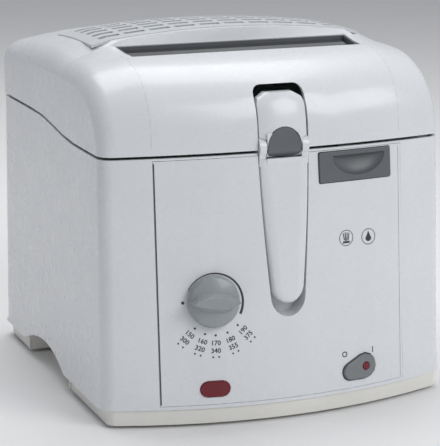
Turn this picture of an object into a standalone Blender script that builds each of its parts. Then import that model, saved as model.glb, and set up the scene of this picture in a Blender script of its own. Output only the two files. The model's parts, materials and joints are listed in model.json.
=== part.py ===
"""A compact household deep fryer: drafted casing with a bowed front, crowned lid with a window and a
filter, fixed oil bowl and a lift-out basket with a folding handle.

The part stands on the XY plane, faces -Y and is built in metres. X runs to the right, Z runs up.
"""

import math

import bmesh
import bpy
from mathutils import Matrix, Vector

MM = 0.001
GAP = 0.3 * MM  # left between pieces that rest on or sit in each other

# Casing
CASE_WIDTH = 280 * MM  # at the lower edge
SIDE_DRAFT = 2.5 * MM  # each side leans in by this up to the parting line
CASE_BACK = 148 * MM
BACK_DRAFT = 1.5 * MM
FRONT_LOW = -127 * MM  # where the side and front faces would meet, at the lower edge
FRONT_LEAN = 7 * MM
BOW_LOW = 28 * MM  # how far the front swells forward at the middle
BOW_TOP = 15 * MM
FRONT_CORNER = 9 * MM
REAR_CORNER = 14 * MM
CASE_LOW_Z = 14 * MM
WALL = 2.6 * MM
SKIRT_FLARE = 1.4 * MM
SKIRT_FRONT_Z = 38 * MM
SKIRT_REAR_Z = 16 * MM

# Parting line between casing and lid: level at the front, a soft step up along each side
PART_FRONT_Z = 202 * MM
PART_REAR_Z = 211 * MM
PART_GAP = 2.2 * MM
STEP_START_Y = -58 * MM
STEP_END_Y = 43 * MM

# Base
BASE_LOW_Z = 2.4 * MM
BASE_FLOOR = 3 * MM
BASE_INSET = 4 * MM
BASE_FRONT_INSET = 1 * MM
BASE_LIP = 6.5 * MM
LIP_THICK = 2.4 * MM
FOOT_RADIUS = 9 * MM
FOOT_X = 105 * MM
FOOT_Y = 108 * MM
SCREW_RADIUS = 3.4 * MM
GRIP_MIDDLE_Y = 24 * MM
GRIP_LENGTH = 112 * MM
GRIP_HEIGHT = 26 * MM
GRIP_DEPTH = 26 * MM
GRIP_WALL = 3 * MM

# Front panel and what sits in it
PANEL_HALF = 99.7 * MM
PANEL_LOW_Z = 17 * MM
PANEL_TOP_Z = 199 * MM
PANEL_FLANGE = 5 * MM  # how far the flange behind the panel reaches past its ends
FLANGE_THICK = 2 * MM
PANEL_FLANGE_INSET = WALL + 3 * GAP  # clear of the casing's inner face
BUTTON_OFFSET = -0.35 * MM  # from midway between the handle's edge and the panel's edge
BUTTON_Z = 186.5 * MM
BUTTON_WIDTH = 62 * MM
BUTTON_HEIGHT = 23 * MM
BUTTON_DEPTH = 11 * MM
BUTTON_TRAVEL = 4 * MM
LATCH_SET_BACK = 14 * MM  # from the front surface to the latch's stem
SCOOP_RADII = (23 * MM, 7 * MM, 16 * MM)  # the finger scoop is the lower half of an ellipsoid
SCOOP_TOP = 8.2 * MM
SCOOP_SHIFT = 3 * MM
KNOB_X = -59 * MM
KNOB_Z = 94.5 * MM
KNOB_RADIUS = 19.6 * MM
KNOB_HEIGHT = 15.5 * MM
KNOB_REST_TURN = -3  # degrees, how far the grip slopes when the knob points at off
SHAFT_RADIUS = 3 * MM
SHAFT_LENGTH = 26 * MM
LENS_X = -59.3 * MM
LENS_Z = 28.5 * MM
LENS_WIDTH = 23 * MM
LENS_HEIGHT = 12 * MM
SWITCH_X = 57 * MM
SWITCH_Z = 31 * MM
SWITCH_SMALL_RADIUS = 6.4 * MM
SWITCH_LARGE_RADIUS = 9.4 * MM
SWITCH_SPACING = 13.5 * MM
SWITCH_TILT = 12  # degrees, how far the switch's long axis slopes up to the right
SWITCH_FIT = 0.9 * MM  # round the rocker, which tips in its opening
FIT = 0.5 * MM  # clearance round a piece that moves in an opening

# Folding handle
PIVOT_Y = -130.2 * MM
PIVOT_Z = 204.5 * MM
KNUCKLE_RADIUS = 8 * MM
KNUCKLE_HALF = 13.8 * MM
PIN_RADIUS = 2 * MM
HANDLE_HALF_TOP = 19.6 * MM
HANDLE_HALF_TIP = 13.2 * MM
HANDLE_TIP_Z = 88 * MM
BUTTON_X = (HANDLE_HALF_TOP + PANEL_HALF) / 2 + BUTTON_OFFSET
HANDLE_PROUD = 2.5 * MM
HANDLE_THICK = 10 * MM
CHANNEL_FIT = 0.9 * MM
CHANNEL_DEPTH = 15 * MM
FINGER_ROOM = 9 * MM
BRACKET_TOP_Z = 244 * MM
BRACKET_THICK = 9 * MM
ARM_HALF = 9 * MM
ARM_LOW_Z = 216 * MM
ARM_TOP_Z = 229 * MM
LOCK_HALF = 13.4 * MM
LOCK_TOP_Z = 219.5 * MM
LOCK_CORNER_Z = 202 * MM
LOCK_LOW_Z = 197.3 * MM
LOCK_THICK = 3 * MM
LOCK_TRAVEL = 2.5 * MM
LOCK_END_ANGLE = 84  # degrees round each arch to its blunt tip

# Lid
LID_WALL = 3.2 * MM
SHOULDER_Y = -52 * MM  # middle of the rounded front shoulder
SHOULDER_Z = 206 * MM
SHOULDER_RISE = 62 * MM
SHOULDER_RISE_SIDE = 54 * MM
SHOULDER_POWER = 2.5
CROWN_FRONT_Y = -31 * MM
CROWN_Z = 281.3 * MM
CROWN_PEAK_Y = 2 * MM
CROWN_FRONT_FALL = 1.1 * MM
CROWN_REAR_FALL = 21 * MM
CROWN_SIDE_Z = 261 * MM
CROWN_SIDE_FALL = 9 * MM
LID_EDGE_LOW = 9 * MM  # rounding of the lid's end faces, at the parting line and over the top
LID_EDGE_TOP = 12 * MM
LID_REAR_RADIUS = 16 * MM
FLAT_HALF = 97 * MM  # the lid's front is straight across inside this
SLOT_HALF = 20.3 * MM
SLOT_TOP_Z = 249.5 * MM
WINDOW_FRONT_Y = -68 * MM
WINDOW_REAR_Y = -32.5 * MM
WINDOW_FRONT_HALF = 94 * MM
WINDOW_REAR_HALF = 96.5 * MM
WINDOW_FRONT_Z = 266.4 * MM
WINDOW_REAR_Z = 270.8 * MM
WINDOW_RIM = 3 * MM
WINDOW_SINK = 3.2 * MM
WINDOW_THICK = 2 * MM
COVER_HALF = 112 * MM
COVER_FRONT_Y = -25 * MM
COVER_REAR_Y = 64 * MM
COVER_REBATE = 1.8 * MM
COVER_LEDGE = 6 * MM
COVER_ROWS = 5
COVER_COLUMNS = 10
LINER_Z = 212 * MM
LINER_THICK = 1.6 * MM

# Bowl, basket and heater
BOWL_HALF = 106 * MM
BOWL_FRONT = -100 * MM
BOWL_REAR = 88 * MM
BOWL_LOW_Z = 88 * MM
BOWL_CORNER = 42 * MM
BOWL_WALL = 1.5 * MM
BOWL_FLANGE = 9 * MM
DECK_Z = 199 * MM
DECK_THICK = 2.5 * MM
BASKET_GAP = 11 * MM
BASKET_LOW_Z = 104 * MM
BASKET_TOP_Z = 194 * MM
BASKET_WALL = 1.6 * MM
BASKET_ROUND = 5.5 * MM
HEATER_TUBE = 4 * MM
SHIELD_LOW_Z = 62 * MM

# Mains inlet
INLET_X = 92 * MM
INLET_Z = 48 * MM
INLET_HALF_WIDTH = 17 * MM
INLET_HALF_HEIGHT = 13 * MM

# Hinge at the back
HINGE_Y = CASE_BACK + 7 * MM
HINGE_Z = 211.5 * MM
HINGE_RADIUS = 5 * MM
HINGE_PIN = 2 * MM
HINGE_HALF = 52 * MM
HINGE_EAR = 12 * MM

CORNER_STEPS = 4
FRONT_STEPS = 12
SIDE_STEPS = 12


# ---------------------------------------------------------------------------
# Materials and object helpers
# ---------------------------------------------------------------------------


def clear_scene():
    for item in list(bpy.data.objects):
        bpy.data.objects.remove(item, do_unlink=True)


def finish(name, colour, roughness, metallic=0.0):
    """A Principled material, made once for each name."""
    found = bpy.data.materials.get(name)
    if found:
        return found
    made = bpy.data.materials.new(name)
    made.use_nodes = True
    shader = made.node_tree.nodes["Principled BSDF"]
    shader.inputs["Base Color"].default_value = (*colour, 1.0)
    shader.inputs["Roughness"].default_value = roughness
    shader.inputs["Metallic"].default_value = metallic
    return made


def white():
    return finish("white_plastic", (0.72, 0.74, 0.76), 0.32)


def ivory():
    return finish("ivory_plastic", (0.62, 0.61, 0.56), 0.4)


def grey():
    return finish("grey_plastic", (0.10, 0.11, 0.12), 0.4)


def steel():
    return finish("bright_steel", (0.62, 0.62, 0.62), 0.25, 1.0)


def black():
    return finish("black_plastic", (0.02, 0.02, 0.02), 0.5)


def add_object(name, mesh_data, look, pivot=(0, 0, 0)):
    """Makes a node. Its origin is put at pivot, and the shape stays where it was drawn."""
    bmesh.ops.remove_doubles(mesh_data, verts=mesh_data.verts, dist=1e-7)
    bmesh.ops.recalc_face_normals(mesh_data, faces=mesh_data.faces)
    bmesh.ops.translate(mesh_data, vec=-Vector(pivot), verts=mesh_data.verts)
    mesh = bpy.data.meshes.new(name)
    mesh_data.to_mesh(mesh)
    mesh_data.free()
    made = bpy.data.objects.new(name, mesh)
    made.location = pivot
    bpy.context.scene.collection.objects.link(made)
    if look:
        mesh.materials.append(look)
        mesh.shade_smooth()
        mesh.set_sharp_from_angle(angle=math.radians(35))
    return made


def helper(name, mesh_data):
    """A cutter or filler: used by a Boolean, and not part of the object."""
    made = add_object(name, mesh_data, None)
    made.hide_render = True
    made.display_type = "WIRE"
    return made


def boolean(target, operation, other, solver="EXACT"):
    modifier = target.modifiers.new(other.name, "BOOLEAN")
    modifier.operation = operation
    modifier.solver = solver
    modifier.object = other


def cut(target, name, mesh_data, solver="EXACT"):
    boolean(target, "DIFFERENCE", helper(name, mesh_data), solver)


def join(target, name, mesh_data, solver="EXACT"):
    boolean(target, "UNION", helper(name, mesh_data), solver)


# ---------------------------------------------------------------------------
# Shape helpers: each returns a closed bmesh
# ---------------------------------------------------------------------------


def block(low, high, bevel=0.0, steps=2):
    """A box between two corners, its edges rounded by bevel."""
    low = Vector(low)
    high = Vector(high)
    shape = bmesh.new()
    bmesh.ops.create_cube(shape, size=1.0)
    bmesh.ops.scale(shape, vec=high - low, verts=shape.verts)
    bmesh.ops.translate(shape, vec=(low + high) / 2, verts=shape.verts)
    if bevel:
        bmesh.ops.bevel(shape, geom=shape.edges[:], offset=bevel, segments=steps, profile=0.5,
                        affect="EDGES", material=-1)
    return shape


def prism(outline, direction, bevel=0.0):
    """A flat outline of 3-D points, extruded along direction."""
    shape = bmesh.new()
    face = shape.faces.new([shape.verts.new(point) for point in outline])
    made = bmesh.ops.extrude_face_region(shape, geom=[face])
    moved = [item for item in made["geom"] if isinstance(item, bmesh.types.BMVert)]
    bmesh.ops.translate(shape, vec=direction, verts=moved)
    bmesh.ops.recalc_face_normals(shape, faces=shape.faces)
    if bevel:
        side = Vector(direction).normalized()
        rims = [edge for edge in shape.edges
                if abs((edge.verts[0].co - edge.verts[1].co).dot(side)) < 1e-7]
        bmesh.ops.bevel(shape, geom=rims, offset=bevel, segments=2, profile=0.5,
                        affect="EDGES", material=-1)
    return shape


def loft(rings, around=False):
    """Rings of equally many points, bridged in turn. around joins the last ring to the first."""
    shape = bmesh.new()
    made = [[shape.verts.new(point) for point in ring] for ring in rings]
    pairs = list(zip(made, made[1:]))
    if around:
        pairs.append((made[-1], made[0]))
    for one, other in pairs:
        for index in range(len(one)):
            after = (index + 1) % len(one)
            shape.faces.new((one[index], one[after], other[after], other[index]))
    if not around:
        shape.faces.new(made[0][::-1])
        shape.faces.new(made[-1])
    bmesh.ops.recalc_face_normals(shape, faces=shape.faces)
    return shape


def turned(profile, matrix, steps=24):
    """A profile of (radius, height) points from axis to axis, spun round and placed by matrix."""
    shape = bmesh.new()
    points = [shape.verts.new((radius, 0, height)) for radius, height in profile]
    for one, other in zip(points, points[1:]):
        shape.edges.new((one, other))
    bmesh.ops.spin(shape, geom=shape.verts[:] + shape.edges[:], cent=(0, 0, 0), axis=(0, 0, 1),
                   angle=2 * math.pi, steps=steps, use_merge=True)
    bmesh.ops.remove_doubles(shape, verts=shape.verts, dist=1e-6)
    bmesh.ops.recalc_face_normals(shape, faces=shape.faces)
    bmesh.ops.transform(shape, matrix=matrix, verts=shape.verts)
    return shape


def rod(start, end, radius, steps=20):
    """A plain round bar between two points."""
    start = Vector(start)
    along = Vector(end) - start
    turn = along.to_track_quat("Z", "Y").to_matrix().to_4x4()
    profile = [(0, 0), (radius, 0), (radius, along.length), (0, along.length)]
    return turned(profile, Matrix.Translation(start) @ turn, steps)


def rounded_rectangle(low, high, radius, steps=5):
    """Points of a rectangle with round corners, anticlockwise."""
    points = []
    for quarter, (x, y) in enumerate(((high[0] - radius, high[1] - radius),
                                      (low[0] + radius, high[1] - radius),
                                      (low[0] + radius, low[1] + radius),
                                      (high[0] - radius, low[1] + radius))):
        for step in range(steps + 1):
            angle = math.pi / 2 * (quarter + step / steps)
            points.append((x + radius * math.cos(angle), y + radius * math.sin(angle)))
    return points


def wire(name, points, radius, look, closed=False):
    """A round wire or tube: a curve with a bevel, its ends closed by caps."""
    data = bpy.data.curves.new(name, "CURVE")
    data.dimensions = "3D"
    data.bevel_depth = radius
    data.bevel_resolution = 2
    data.use_fill_caps = True
    line = data.splines.new("POLY")
    line.points.add(len(points) - 1)
    for item, point in zip(line.points, points):
        item.co = (*point, 1.0)
    line.use_cyclic_u = closed
    data.materials.append(look)
    made = bpy.data.objects.new(name, data)
    bpy.context.scene.collection.objects.link(made)
    return made


# ---------------------------------------------------------------------------
# The casing's shape, as formulas that every neighbour shares
# ---------------------------------------------------------------------------


def smooth_step(value):
    value = min(max(value, 0.0), 1.0)
    return value * value * (3 - 2 * value)


def part_z(y):
    """Height of the parting line at depth y."""
    share = smooth_step((y - STEP_START_Y) / (STEP_END_Y - STEP_START_Y))
    return PART_FRONT_Z + (PART_REAR_Z - PART_FRONT_Z) * share


def rise(z):
    """0 at the casing's lower edge, 1 at the parting line."""
    return (z - CASE_LOW_Z) / (PART_FRONT_Z - CASE_LOW_Z)


def half_width(t):
    return CASE_WIDTH / 2 - SIDE_DRAFT * t


def bow(x, t):
    """How far the front stands forward of its corners at x."""
    depth = BOW_LOW + (BOW_TOP - BOW_LOW) * t
    return depth * (1 - (x / half_width(t)) ** 2)


def front_y(x, t, inset=0.0):
    return FRONT_LOW + FRONT_LEAN * t - bow(x, t) + inset


def back_y(t, inset=0.0):
    return CASE_BACK - BACK_DRAFT * t - inset


def corner_points(half, radius):
    """(x, set-back) pairs round a corner, from the side face to the front or back face."""
    points = []
    for step in range(CORNER_STEPS + 1):
        angle = math.pi / 2 * (1 - step / CORNER_STEPS)
        points.append((half - radius + radius * math.sin(angle), radius * (1 - math.cos(angle))))
    return points


def case_outline(t, inset=0.0, side_inset=None, front_inset=None):
    """The casing's outline in plan at height share t, moved inwards by inset."""
    side_inset = inset if side_inset is None else side_inset
    front_inset = inset if front_inset is None else front_inset
    half = half_width(t) - side_inset
    front = max(FRONT_CORNER - inset, 2 * MM)
    rear = max(REAR_CORNER - inset, 2 * MM)
    front_half = [(x, front_y(x, t, front_inset) + back) for x, back in corner_points(half, front)]
    span = half - front
    flat = [span * (1 - 2 * step / FRONT_STEPS) for step in range(1, FRONT_STEPS)]
    points = [(x, y) for x, y in front_half]
    points += [(x, front_y(x, t, front_inset)) for x in flat]
    points += [(-x, y) for x, y in reversed(front_half)]
    rear_half = [(x, back_y(t, inset) - back) for x, back in corner_points(half, rear)]
    side_front = front_half[0][1]
    side_rear = rear_half[0][1]
    side = [side_front + (side_rear - side_front) * step / SIDE_STEPS for step in range(1, SIDE_STEPS)]
    points += [(-half, y) for y in side]
    points += [(-x, y) for x, y in rear_half]
    points += [(x, y) for x, y in reversed(rear_half)]
    points += [(half, y) for y in reversed(side)]
    return points


def skirt_z(y):
    """Height of the soft crease where the lower sides start to flare."""
    share = smooth_step((y - FRONT_LOW) / (CASE_BACK - FRONT_LOW))
    return SKIRT_FRONT_Z + (SKIRT_REAR_Z - SKIRT_FRONT_Z) * share


def crease_ring():
    """The crease as a ring of points on the leaning faces."""
    ring = []
    for index, (x, y) in enumerate(case_outline(0)):
        z = skirt_z(y)
        ring.append((*case_outline(rise(z))[index], z))
    return ring


def front_frame(x, z):
    """Matrix of a spot on the bowed front: local X along the surface, Y straight in, Z up it."""
    spot = Vector((x, front_y(x, rise(z)), z))
    along = Vector((x + MM, front_y(x + MM, rise(z)), z)) - spot
    up = Vector((x, front_y(x, rise(z + MM)), z + MM)) - spot
    along.normalize()
    inward = up.cross(along).normalized()
    up = along.cross(inward)
    return Matrix.Translation(spot) @ Matrix((along, inward, up)).transposed().to_4x4()


def turned_in_front(x, z, profile, steps=24):
    """A turned piece whose axis stands on the front at (x, z). Heights count inwards."""
    return turned(profile, front_frame(x, z) @ Matrix.Rotation(math.radians(-90), 4, "X"), steps)


def front_prism(x, z, outline, start, end, bevel=0.0):
    """An outline of (x, z) points about a spot on the front, extruded from depth start to end."""
    shape = prism([(px, start, pz) for px, pz in outline], (0, end - start, 0), bevel)
    bmesh.ops.transform(shape, matrix=front_frame(x, z), verts=shape.verts)
    return shape


def bowed_slab(half, low_z, top_z, outer, inner):
    """A plate that follows the front, between two insets."""
    rings = []
    for step in range(FRONT_STEPS + 1):
        x = half * (2 * step / FRONT_STEPS - 1)
        rings.append([(x, front_y(x, rise(low_z), outer), low_z),
                      (x, front_y(x, rise(top_z), outer), top_z),
                      (x, front_y(x, rise(top_z), inner), top_z),
                      (x, front_y(x, rise(low_z), inner), low_z)])
    return loft(rings)


def case_top(points, below):
    return [(x, y, part_z(y) - below) for x, y in points]


def at_height(points, z):
    return [(x, y, z) for x, y in points]


# ---------------------------------------------------------------------------
# Casing, base and feet
# ---------------------------------------------------------------------------


def make_casing():
    low = at_height(case_outline(0, 0, -SKIRT_FLARE, 0), CASE_LOW_Z)
    top = case_top(case_outline(1), PART_GAP / 2)
    inner_top = case_top(case_outline(1, WALL), PART_GAP / 2)
    inner_low = at_height(case_outline(0, WALL), CASE_LOW_Z)
    shell = loft([low, crease_ring(), top, inner_top, inner_low], around=True)
    casing = add_object("casing", shell, white())
    opening = bowed_slab(PANEL_HALF + GAP, PANEL_LOW_Z - GAP, PANEL_TOP_Z + GAP, -20 * MM, 20 * MM)
    cut(casing, "cut_panel_opening", opening)
    cut(casing, "cut_casing_notch", channel_solid(GAP, CHANNEL_DEPTH))
    for side in (-1, 1):
        cut(casing, f"cut_grip_mouth_{side}", grip_arch(side))
    cut(casing, "cut_inlet_opening", inlet_shape(GAP, -4 * MM, 12 * MM))
    return casing


def grip_arch(side):
    """The low arch through the casing's side over the hand grip."""
    steps = 10
    half = GRIP_LENGTH / 2
    outline = []
    for step in range(steps + 1):
        share = 2 * step / steps - 1
        height = CASE_LOW_Z + (GRIP_HEIGHT - CASE_LOW_Z) * (1 - share * share)
        outline.append((side * (half_width(0) - 14 * MM), GRIP_MIDDLE_Y + half * share, height))
    outline.append((outline[0][0], GRIP_MIDDLE_Y + half, CASE_LOW_Z - 5 * MM))
    outline.append((outline[0][0], GRIP_MIDDLE_Y - half, CASE_LOW_Z - 5 * MM))
    return prism(outline, (side * 40 * MM, 0, 0))


def base_outline(extra=0.0):
    return case_outline(0, BASE_INSET + extra, BASE_INSET + extra, BASE_FRONT_INSET + extra)


def make_base():
    outer = base_outline()
    beside_wall = WALL + 2 * GAP
    behind_flange = PANEL_FLANGE_INSET + FLANGE_THICK + GAP
    inner = base_outline(beside_wall + LIP_THICK)
    band_top = CASE_LOW_Z - GAP
    lip_top = CASE_LOW_Z + BASE_LIP
    lip = [case_outline(rise(z), beside_wall, front_inset=behind_flange) for z in (band_top, lip_top)]
    lip_inner = [case_outline(rise(z), beside_wall + LIP_THICK, front_inset=behind_flange + LIP_THICK)
                 for z in (band_top, lip_top)]
    rings = [at_height(outer, BASE_LOW_Z), at_height(outer, band_top), at_height(lip[0], band_top),
             at_height(lip[1], lip_top), at_height(lip_inner[1], lip_top),
             at_height(lip_inner[0], band_top), at_height(inner, BASE_LOW_Z + BASE_FLOOR)]
    base = add_object("base", loft(rings), ivory())
    reach = half_width(0) - WALL - GAP
    for side in (-1, 1):
        x0, x1 = sorted((side * reach, side * (reach - GRIP_DEPTH)))
        half = GRIP_LENGTH / 2
        join(base, f"add_grip_box_{side}",
             block((x0, GRIP_MIDDLE_Y - half - GRIP_WALL, BASE_LOW_Z + 0.5 * MM),
                   (x1, GRIP_MIDDLE_Y + half + GRIP_WALL, GRIP_HEIGHT + GRIP_WALL)))
        deep = side * (reach - GRIP_DEPTH + GRIP_WALL)
        x0, x1 = sorted((deep, side * (reach + 30 * MM)))
        cut(base, f"cut_grip_pocket_{side}",
            block((x0, GRIP_MIDDLE_Y - half, -10 * MM), (x1, GRIP_MIDDLE_Y + half, GRIP_HEIGHT + 0.4 * MM)))
    for number, (x, y) in enumerate(foot_places(), 1):
        cut(base, f"cut_foot_seat_{number}",
            rod((x, y, BASE_LOW_Z - 2 * MM), (x, y, BASE_LOW_Z + 1 * MM), FOOT_RADIUS + GAP))
        near = screw_place(x, y)
        cut(base, f"cut_screw_seat_{number}",
            rod((*near, BASE_LOW_Z - 2 * MM), (*near, BASE_LOW_Z + 1.4 * MM), SCREW_RADIUS + GAP, 16))
        cut(base, f"cut_screw_hole_{number}",
            rod((*near, BASE_LOW_Z - 2 * MM), (*near, BASE_LOW_Z + 9 * MM), SCREW_RADIUS * 0.55 + GAP, 12))
    return base


def foot_places():
    return [(side * FOOT_X, depth * FOOT_Y) for side in (-1, 1) for depth in (-1, 1)]


def screw_place(x, y):
    return (x - math.copysign(26 * MM, x), y)


def make_feet():
    for number, (x, y) in enumerate(foot_places(), 1):
        profile = [(0, 0), (FOOT_RADIUS - 1.5 * MM, 0), (FOOT_RADIUS - GAP, 1.5 * MM),
                   (FOOT_RADIUS - GAP, BASE_LOW_Z + 1 * MM - GAP), (0, BASE_LOW_Z + 1 * MM - GAP)]
        rubber = finish("grey_rubber", (0.05, 0.05, 0.055), 0.8)
        add_object(f"foot_{number}", turned(profile, Matrix.Translation((x, y, 0)), 20), rubber)
        near = screw_place(x, y)
        head = BASE_LOW_Z + 1.4 * MM - GAP
        radius = SCREW_RADIUS * 0.55
        profile = [(0, head - 1 * MM), (SCREW_RADIUS, head - 1 * MM), (SCREW_RADIUS, head),
                   (radius, head), (radius, head + 6 * MM), (0, head + 6 * MM)]
        screw = turned(profile, Matrix.Translation((*near, 0)), 12)
        add_object(f"base_screw_{number}", screw, steel())


# ---------------------------------------------------------------------------
# Front panel and controls
# ---------------------------------------------------------------------------


def handle_outline(grow=0.0, tip_drop=0.0, top_z=PIVOT_Z):
    """The folding handle seen from the front, as (x, z) points, swollen by grow."""
    tip = HANDLE_TIP_Z - tip_drop - grow
    tip_half = HANDLE_HALF_TIP + grow
    top_half = HANDLE_HALF_TOP + grow
    shoulder = tip + tip_half * 1.15
    right = []
    for step in range(7):
        share = step / 6
        width = top_half + (tip_half - top_half) * share ** 1.5
        right.append((width, top_z + (shoulder - top_z) * share))
    for step in range(1, 7):
        angle = math.pi / 2 * step / 6
        right.append((tip_half * math.cos(angle), shoulder - (shoulder - tip) * math.sin(angle)))
    return right + [(-x, z) for x, z in reversed(right[:-1])]


def channel_solid(grow, depth):
    """The handle's channel as a solid that follows the panel's lean, from in front of it to depth."""
    outline = handle_outline(CHANNEL_FIT + grow, FINGER_ROOM, PANEL_TOP_Z + 10 * MM)
    near = [(x, front_y(0, rise(z)) - 12 * MM, z) for x, z in outline]
    far = [(x, front_y(0, rise(z)) + depth, z) for x, z in outline]
    return loft([near, far])


def round_end_outline(width, height, steps=6):
    """A stadium of (x, z) points."""
    radius = height / 2
    straight = width / 2 - radius
    points = []
    for side, start in ((1, -90), (-1, 90)):
        for step in range(steps + 1):
            angle = math.radians(start + 180 * step / steps)
            points.append((side * straight + radius * math.cos(angle), radius * math.sin(angle)))
    return points


def switch_outline(grow=0.0, steps=7):
    """A pear outline: two circles of unlike size and the lines that touch both."""
    small = SWITCH_SMALL_RADIUS + grow
    large = SWITCH_LARGE_RADIUS + grow
    lean = math.acos((large - small) / SWITCH_SPACING)
    points = []
    for step in range(steps + 1):
        angle = -(math.pi - lean) + 2 * (math.pi - lean) * step / steps
        points.append((SWITCH_SPACING / 2 + large * math.cos(angle), large * math.sin(angle)))
    for step in range(steps + 1):
        angle = math.pi - lean + 2 * lean * step / steps
        points.append((-SWITCH_SPACING / 2 + small * math.cos(angle), small * math.sin(angle)))
    turn = math.radians(SWITCH_TILT)
    return [(x * math.cos(turn) - z * math.sin(turn), x * math.sin(turn) + z * math.cos(turn)) for x,
            z in points]


def button_outline(grow=0.0):
    half = BUTTON_WIDTH / 2 + grow
    tall = BUTTON_HEIGHT / 2 + grow
    return rounded_rectangle((-half, -tall), (half, tall), 1.5 * MM, 2)


def make_front_panel():
    plate = bowed_slab(PANEL_HALF, PANEL_LOW_Z, PANEL_TOP_Z, 0, PANEL_FLANGE_INSET + FLANGE_THICK / 2)
    panel = add_object("front_panel", plate, white())
    flange = bowed_slab(PANEL_HALF + PANEL_FLANGE, PANEL_LOW_Z - 2.5 * MM, PANEL_TOP_Z - 4 * MM,
                        PANEL_FLANGE_INSET, PANEL_FLANGE_INSET + FLANGE_THICK)
    join(panel, "add_panel_flange", flange, "MANIFOLD")
    trough = channel_solid(2.2 * MM, CHANNEL_DEPTH + 2.2 * MM)
    keep = bowed_slab(PANEL_HALF, PANEL_LOW_Z, PANEL_TOP_Z, 1 * MM, 60 * MM)
    trough_object = helper("add_channel_wall", trough)
    boolean(trough_object, "INTERSECT", helper("channel_limit", keep), "MANIFOLD")
    boolean(panel, "UNION", trough_object, "MANIFOLD")
    cut(panel, "cut_channel", channel_solid(0, CHANNEL_DEPTH), "MANIFOLD")
    cut(panel, "cut_button_opening",
        front_prism(BUTTON_X, BUTTON_Z, button_outline(FIT), -10 * MM, 20 * MM))
    cut(panel, "cut_knob_hole", turned_in_front(KNOB_X, KNOB_Z, shaft_profile(SHAFT_RADIUS + FIT, -5, 15),
                                                16))
    cut(panel, "cut_lens_opening",
        front_prism(LENS_X, LENS_Z, round_end_outline(LENS_WIDTH + 2 * GAP, LENS_HEIGHT + 2 * GAP),
                    -5 * MM, 15 * MM))
    cut(panel, "cut_switch_opening", front_prism(SWITCH_X, SWITCH_Z, switch_outline(SWITCH_FIT), -10 * MM,
                                                 20 * MM))
    return panel


def shaft_profile(radius, start, end):
    return [(0, start * MM), (radius, start * MM), (radius, end * MM), (0, end * MM)]


def grip_ring(depth, half_long, half_tall):
    """A leaf outline across the knob at a depth. The grip's sides slope in from one to the next."""
    steps = 8
    frame = front_frame(KNOB_X, KNOB_Z) @ Matrix.Rotation(math.radians(-KNOB_REST_TURN), 4, "Y")
    ring = []
    for side in (1, -1):
        for step in range(steps):
            share = 1 - 2 * step / steps
            tall = 0.6 * MM + (half_tall - 0.6 * MM) * (1 - share * share)
            ring.append(frame @ Vector((side * half_long * share, depth, side * tall)))
    return ring


def make_knob():
    spot = front_frame(KNOB_X, KNOB_Z)
    pivot = spot.translation
    rim = KNOB_RADIUS
    face = -GAP * 2 - 1 * MM
    top = -KNOB_HEIGHT
    profile = [(0, face), (rim - 1 * MM, face), (rim, face - 1 * MM), (rim, face - 3.2 * MM)]
    for step in range(1, 5):
        angle = math.pi / 2 * step / 4
        profile.append((rim * math.cos(angle), face - 3.2 * MM - 5.5 * MM * math.sin(angle)))
    knob = add_object("thermostat_knob", turned_in_front(KNOB_X, KNOB_Z, profile, 32),
                      finish("knob_plastic", (0.22, 0.25, 0.27), 0.35), pivot)
    grip = loft([grip_ring(face - 2 * MM, rim - 0.2 * MM, 12.6 * MM),
                 grip_ring(face - 6 * MM, rim - 0.5 * MM, 9.4 * MM),
                 grip_ring(top + 1 * MM, rim - 1.4 * MM, 4.8 * MM),
                 grip_ring(top, rim - 2.6 * MM, 3.6 * MM)])
    join(knob, "add_knob_grip", grip)
    socket = turned_in_front(KNOB_X, KNOB_Z, [(0, face + 5 * MM), (SHAFT_RADIUS + GAP, face + 5 * MM),
                                              (SHAFT_RADIUS + GAP, face - 6 * MM), (0, face - 6 * MM)], 16)
    cut(knob, "cut_knob_socket", socket)
    shaft = [(0, face - 5.5 * MM), (SHAFT_RADIUS, face - 5.5 * MM), (SHAFT_RADIUS, SHAFT_LENGTH - 8 * MM),
             (0, SHAFT_LENGTH - 8 * MM)]
    add_object("thermostat_shaft", turned_in_front(KNOB_X, KNOB_Z, shaft, 16), steel(), pivot)


def make_thermostat():
    near = WALL + 4.5 * MM
    body = front_prism(KNOB_X, KNOB_Z, rounded_rectangle((-15 * MM, -15 * MM), (15 * MM, 15 * MM), 3 * MM,
                                                         2),
                       near, near + 16 * MM, 0.8 * MM)
    thermostat = add_object("thermostat_body", body, black())
    cut(thermostat, "cut_shaft_bore",
        turned_in_front(KNOB_X, KNOB_Z, shaft_profile(SHAFT_RADIUS + FIT, -5, SHAFT_LENGTH / MM - 7), 16))
    for name, offset in (("thermostat_terminal_left", -7 * MM), ("thermostat_terminal_right", 7 * MM)):
        blade = front_prism(KNOB_X, KNOB_Z, [(offset - 2.4 * MM, 17 * MM), (offset + 2.4 * MM, 17 * MM),
                                             (offset + 2.4 * MM, 15.3 * MM),
                                             (offset - 2.4 * MM, 15.3 * MM)][::-1],
                            near + 4 * MM, near + 12 * MM)
        add_object(name, blade, finish("brass", (0.6, 0.45, 0.18), 0.35, 1.0))


def make_pilot_light():
    outline = round_end_outline(LENS_WIDTH, LENS_HEIGHT)
    lens = front_prism(LENS_X, LENS_Z, outline, -0.8 * MM, WALL + 1.5 * MM, 0.5 * MM)
    add_object("pilot_lens", lens, finish("red_lens", (0.22, 0.004, 0.01), 0.15))
    holder = front_prism(LENS_X, LENS_Z, round_end_outline(LENS_WIDTH - 4 * MM, LENS_HEIGHT - 3 * MM),
                         WALL + 3.5 * MM, WALL + 16 * MM)
    add_object("pilot_lamp", holder, finish("lamp_glass", (0.7, 0.5, 0.4), 0.1))


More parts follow.
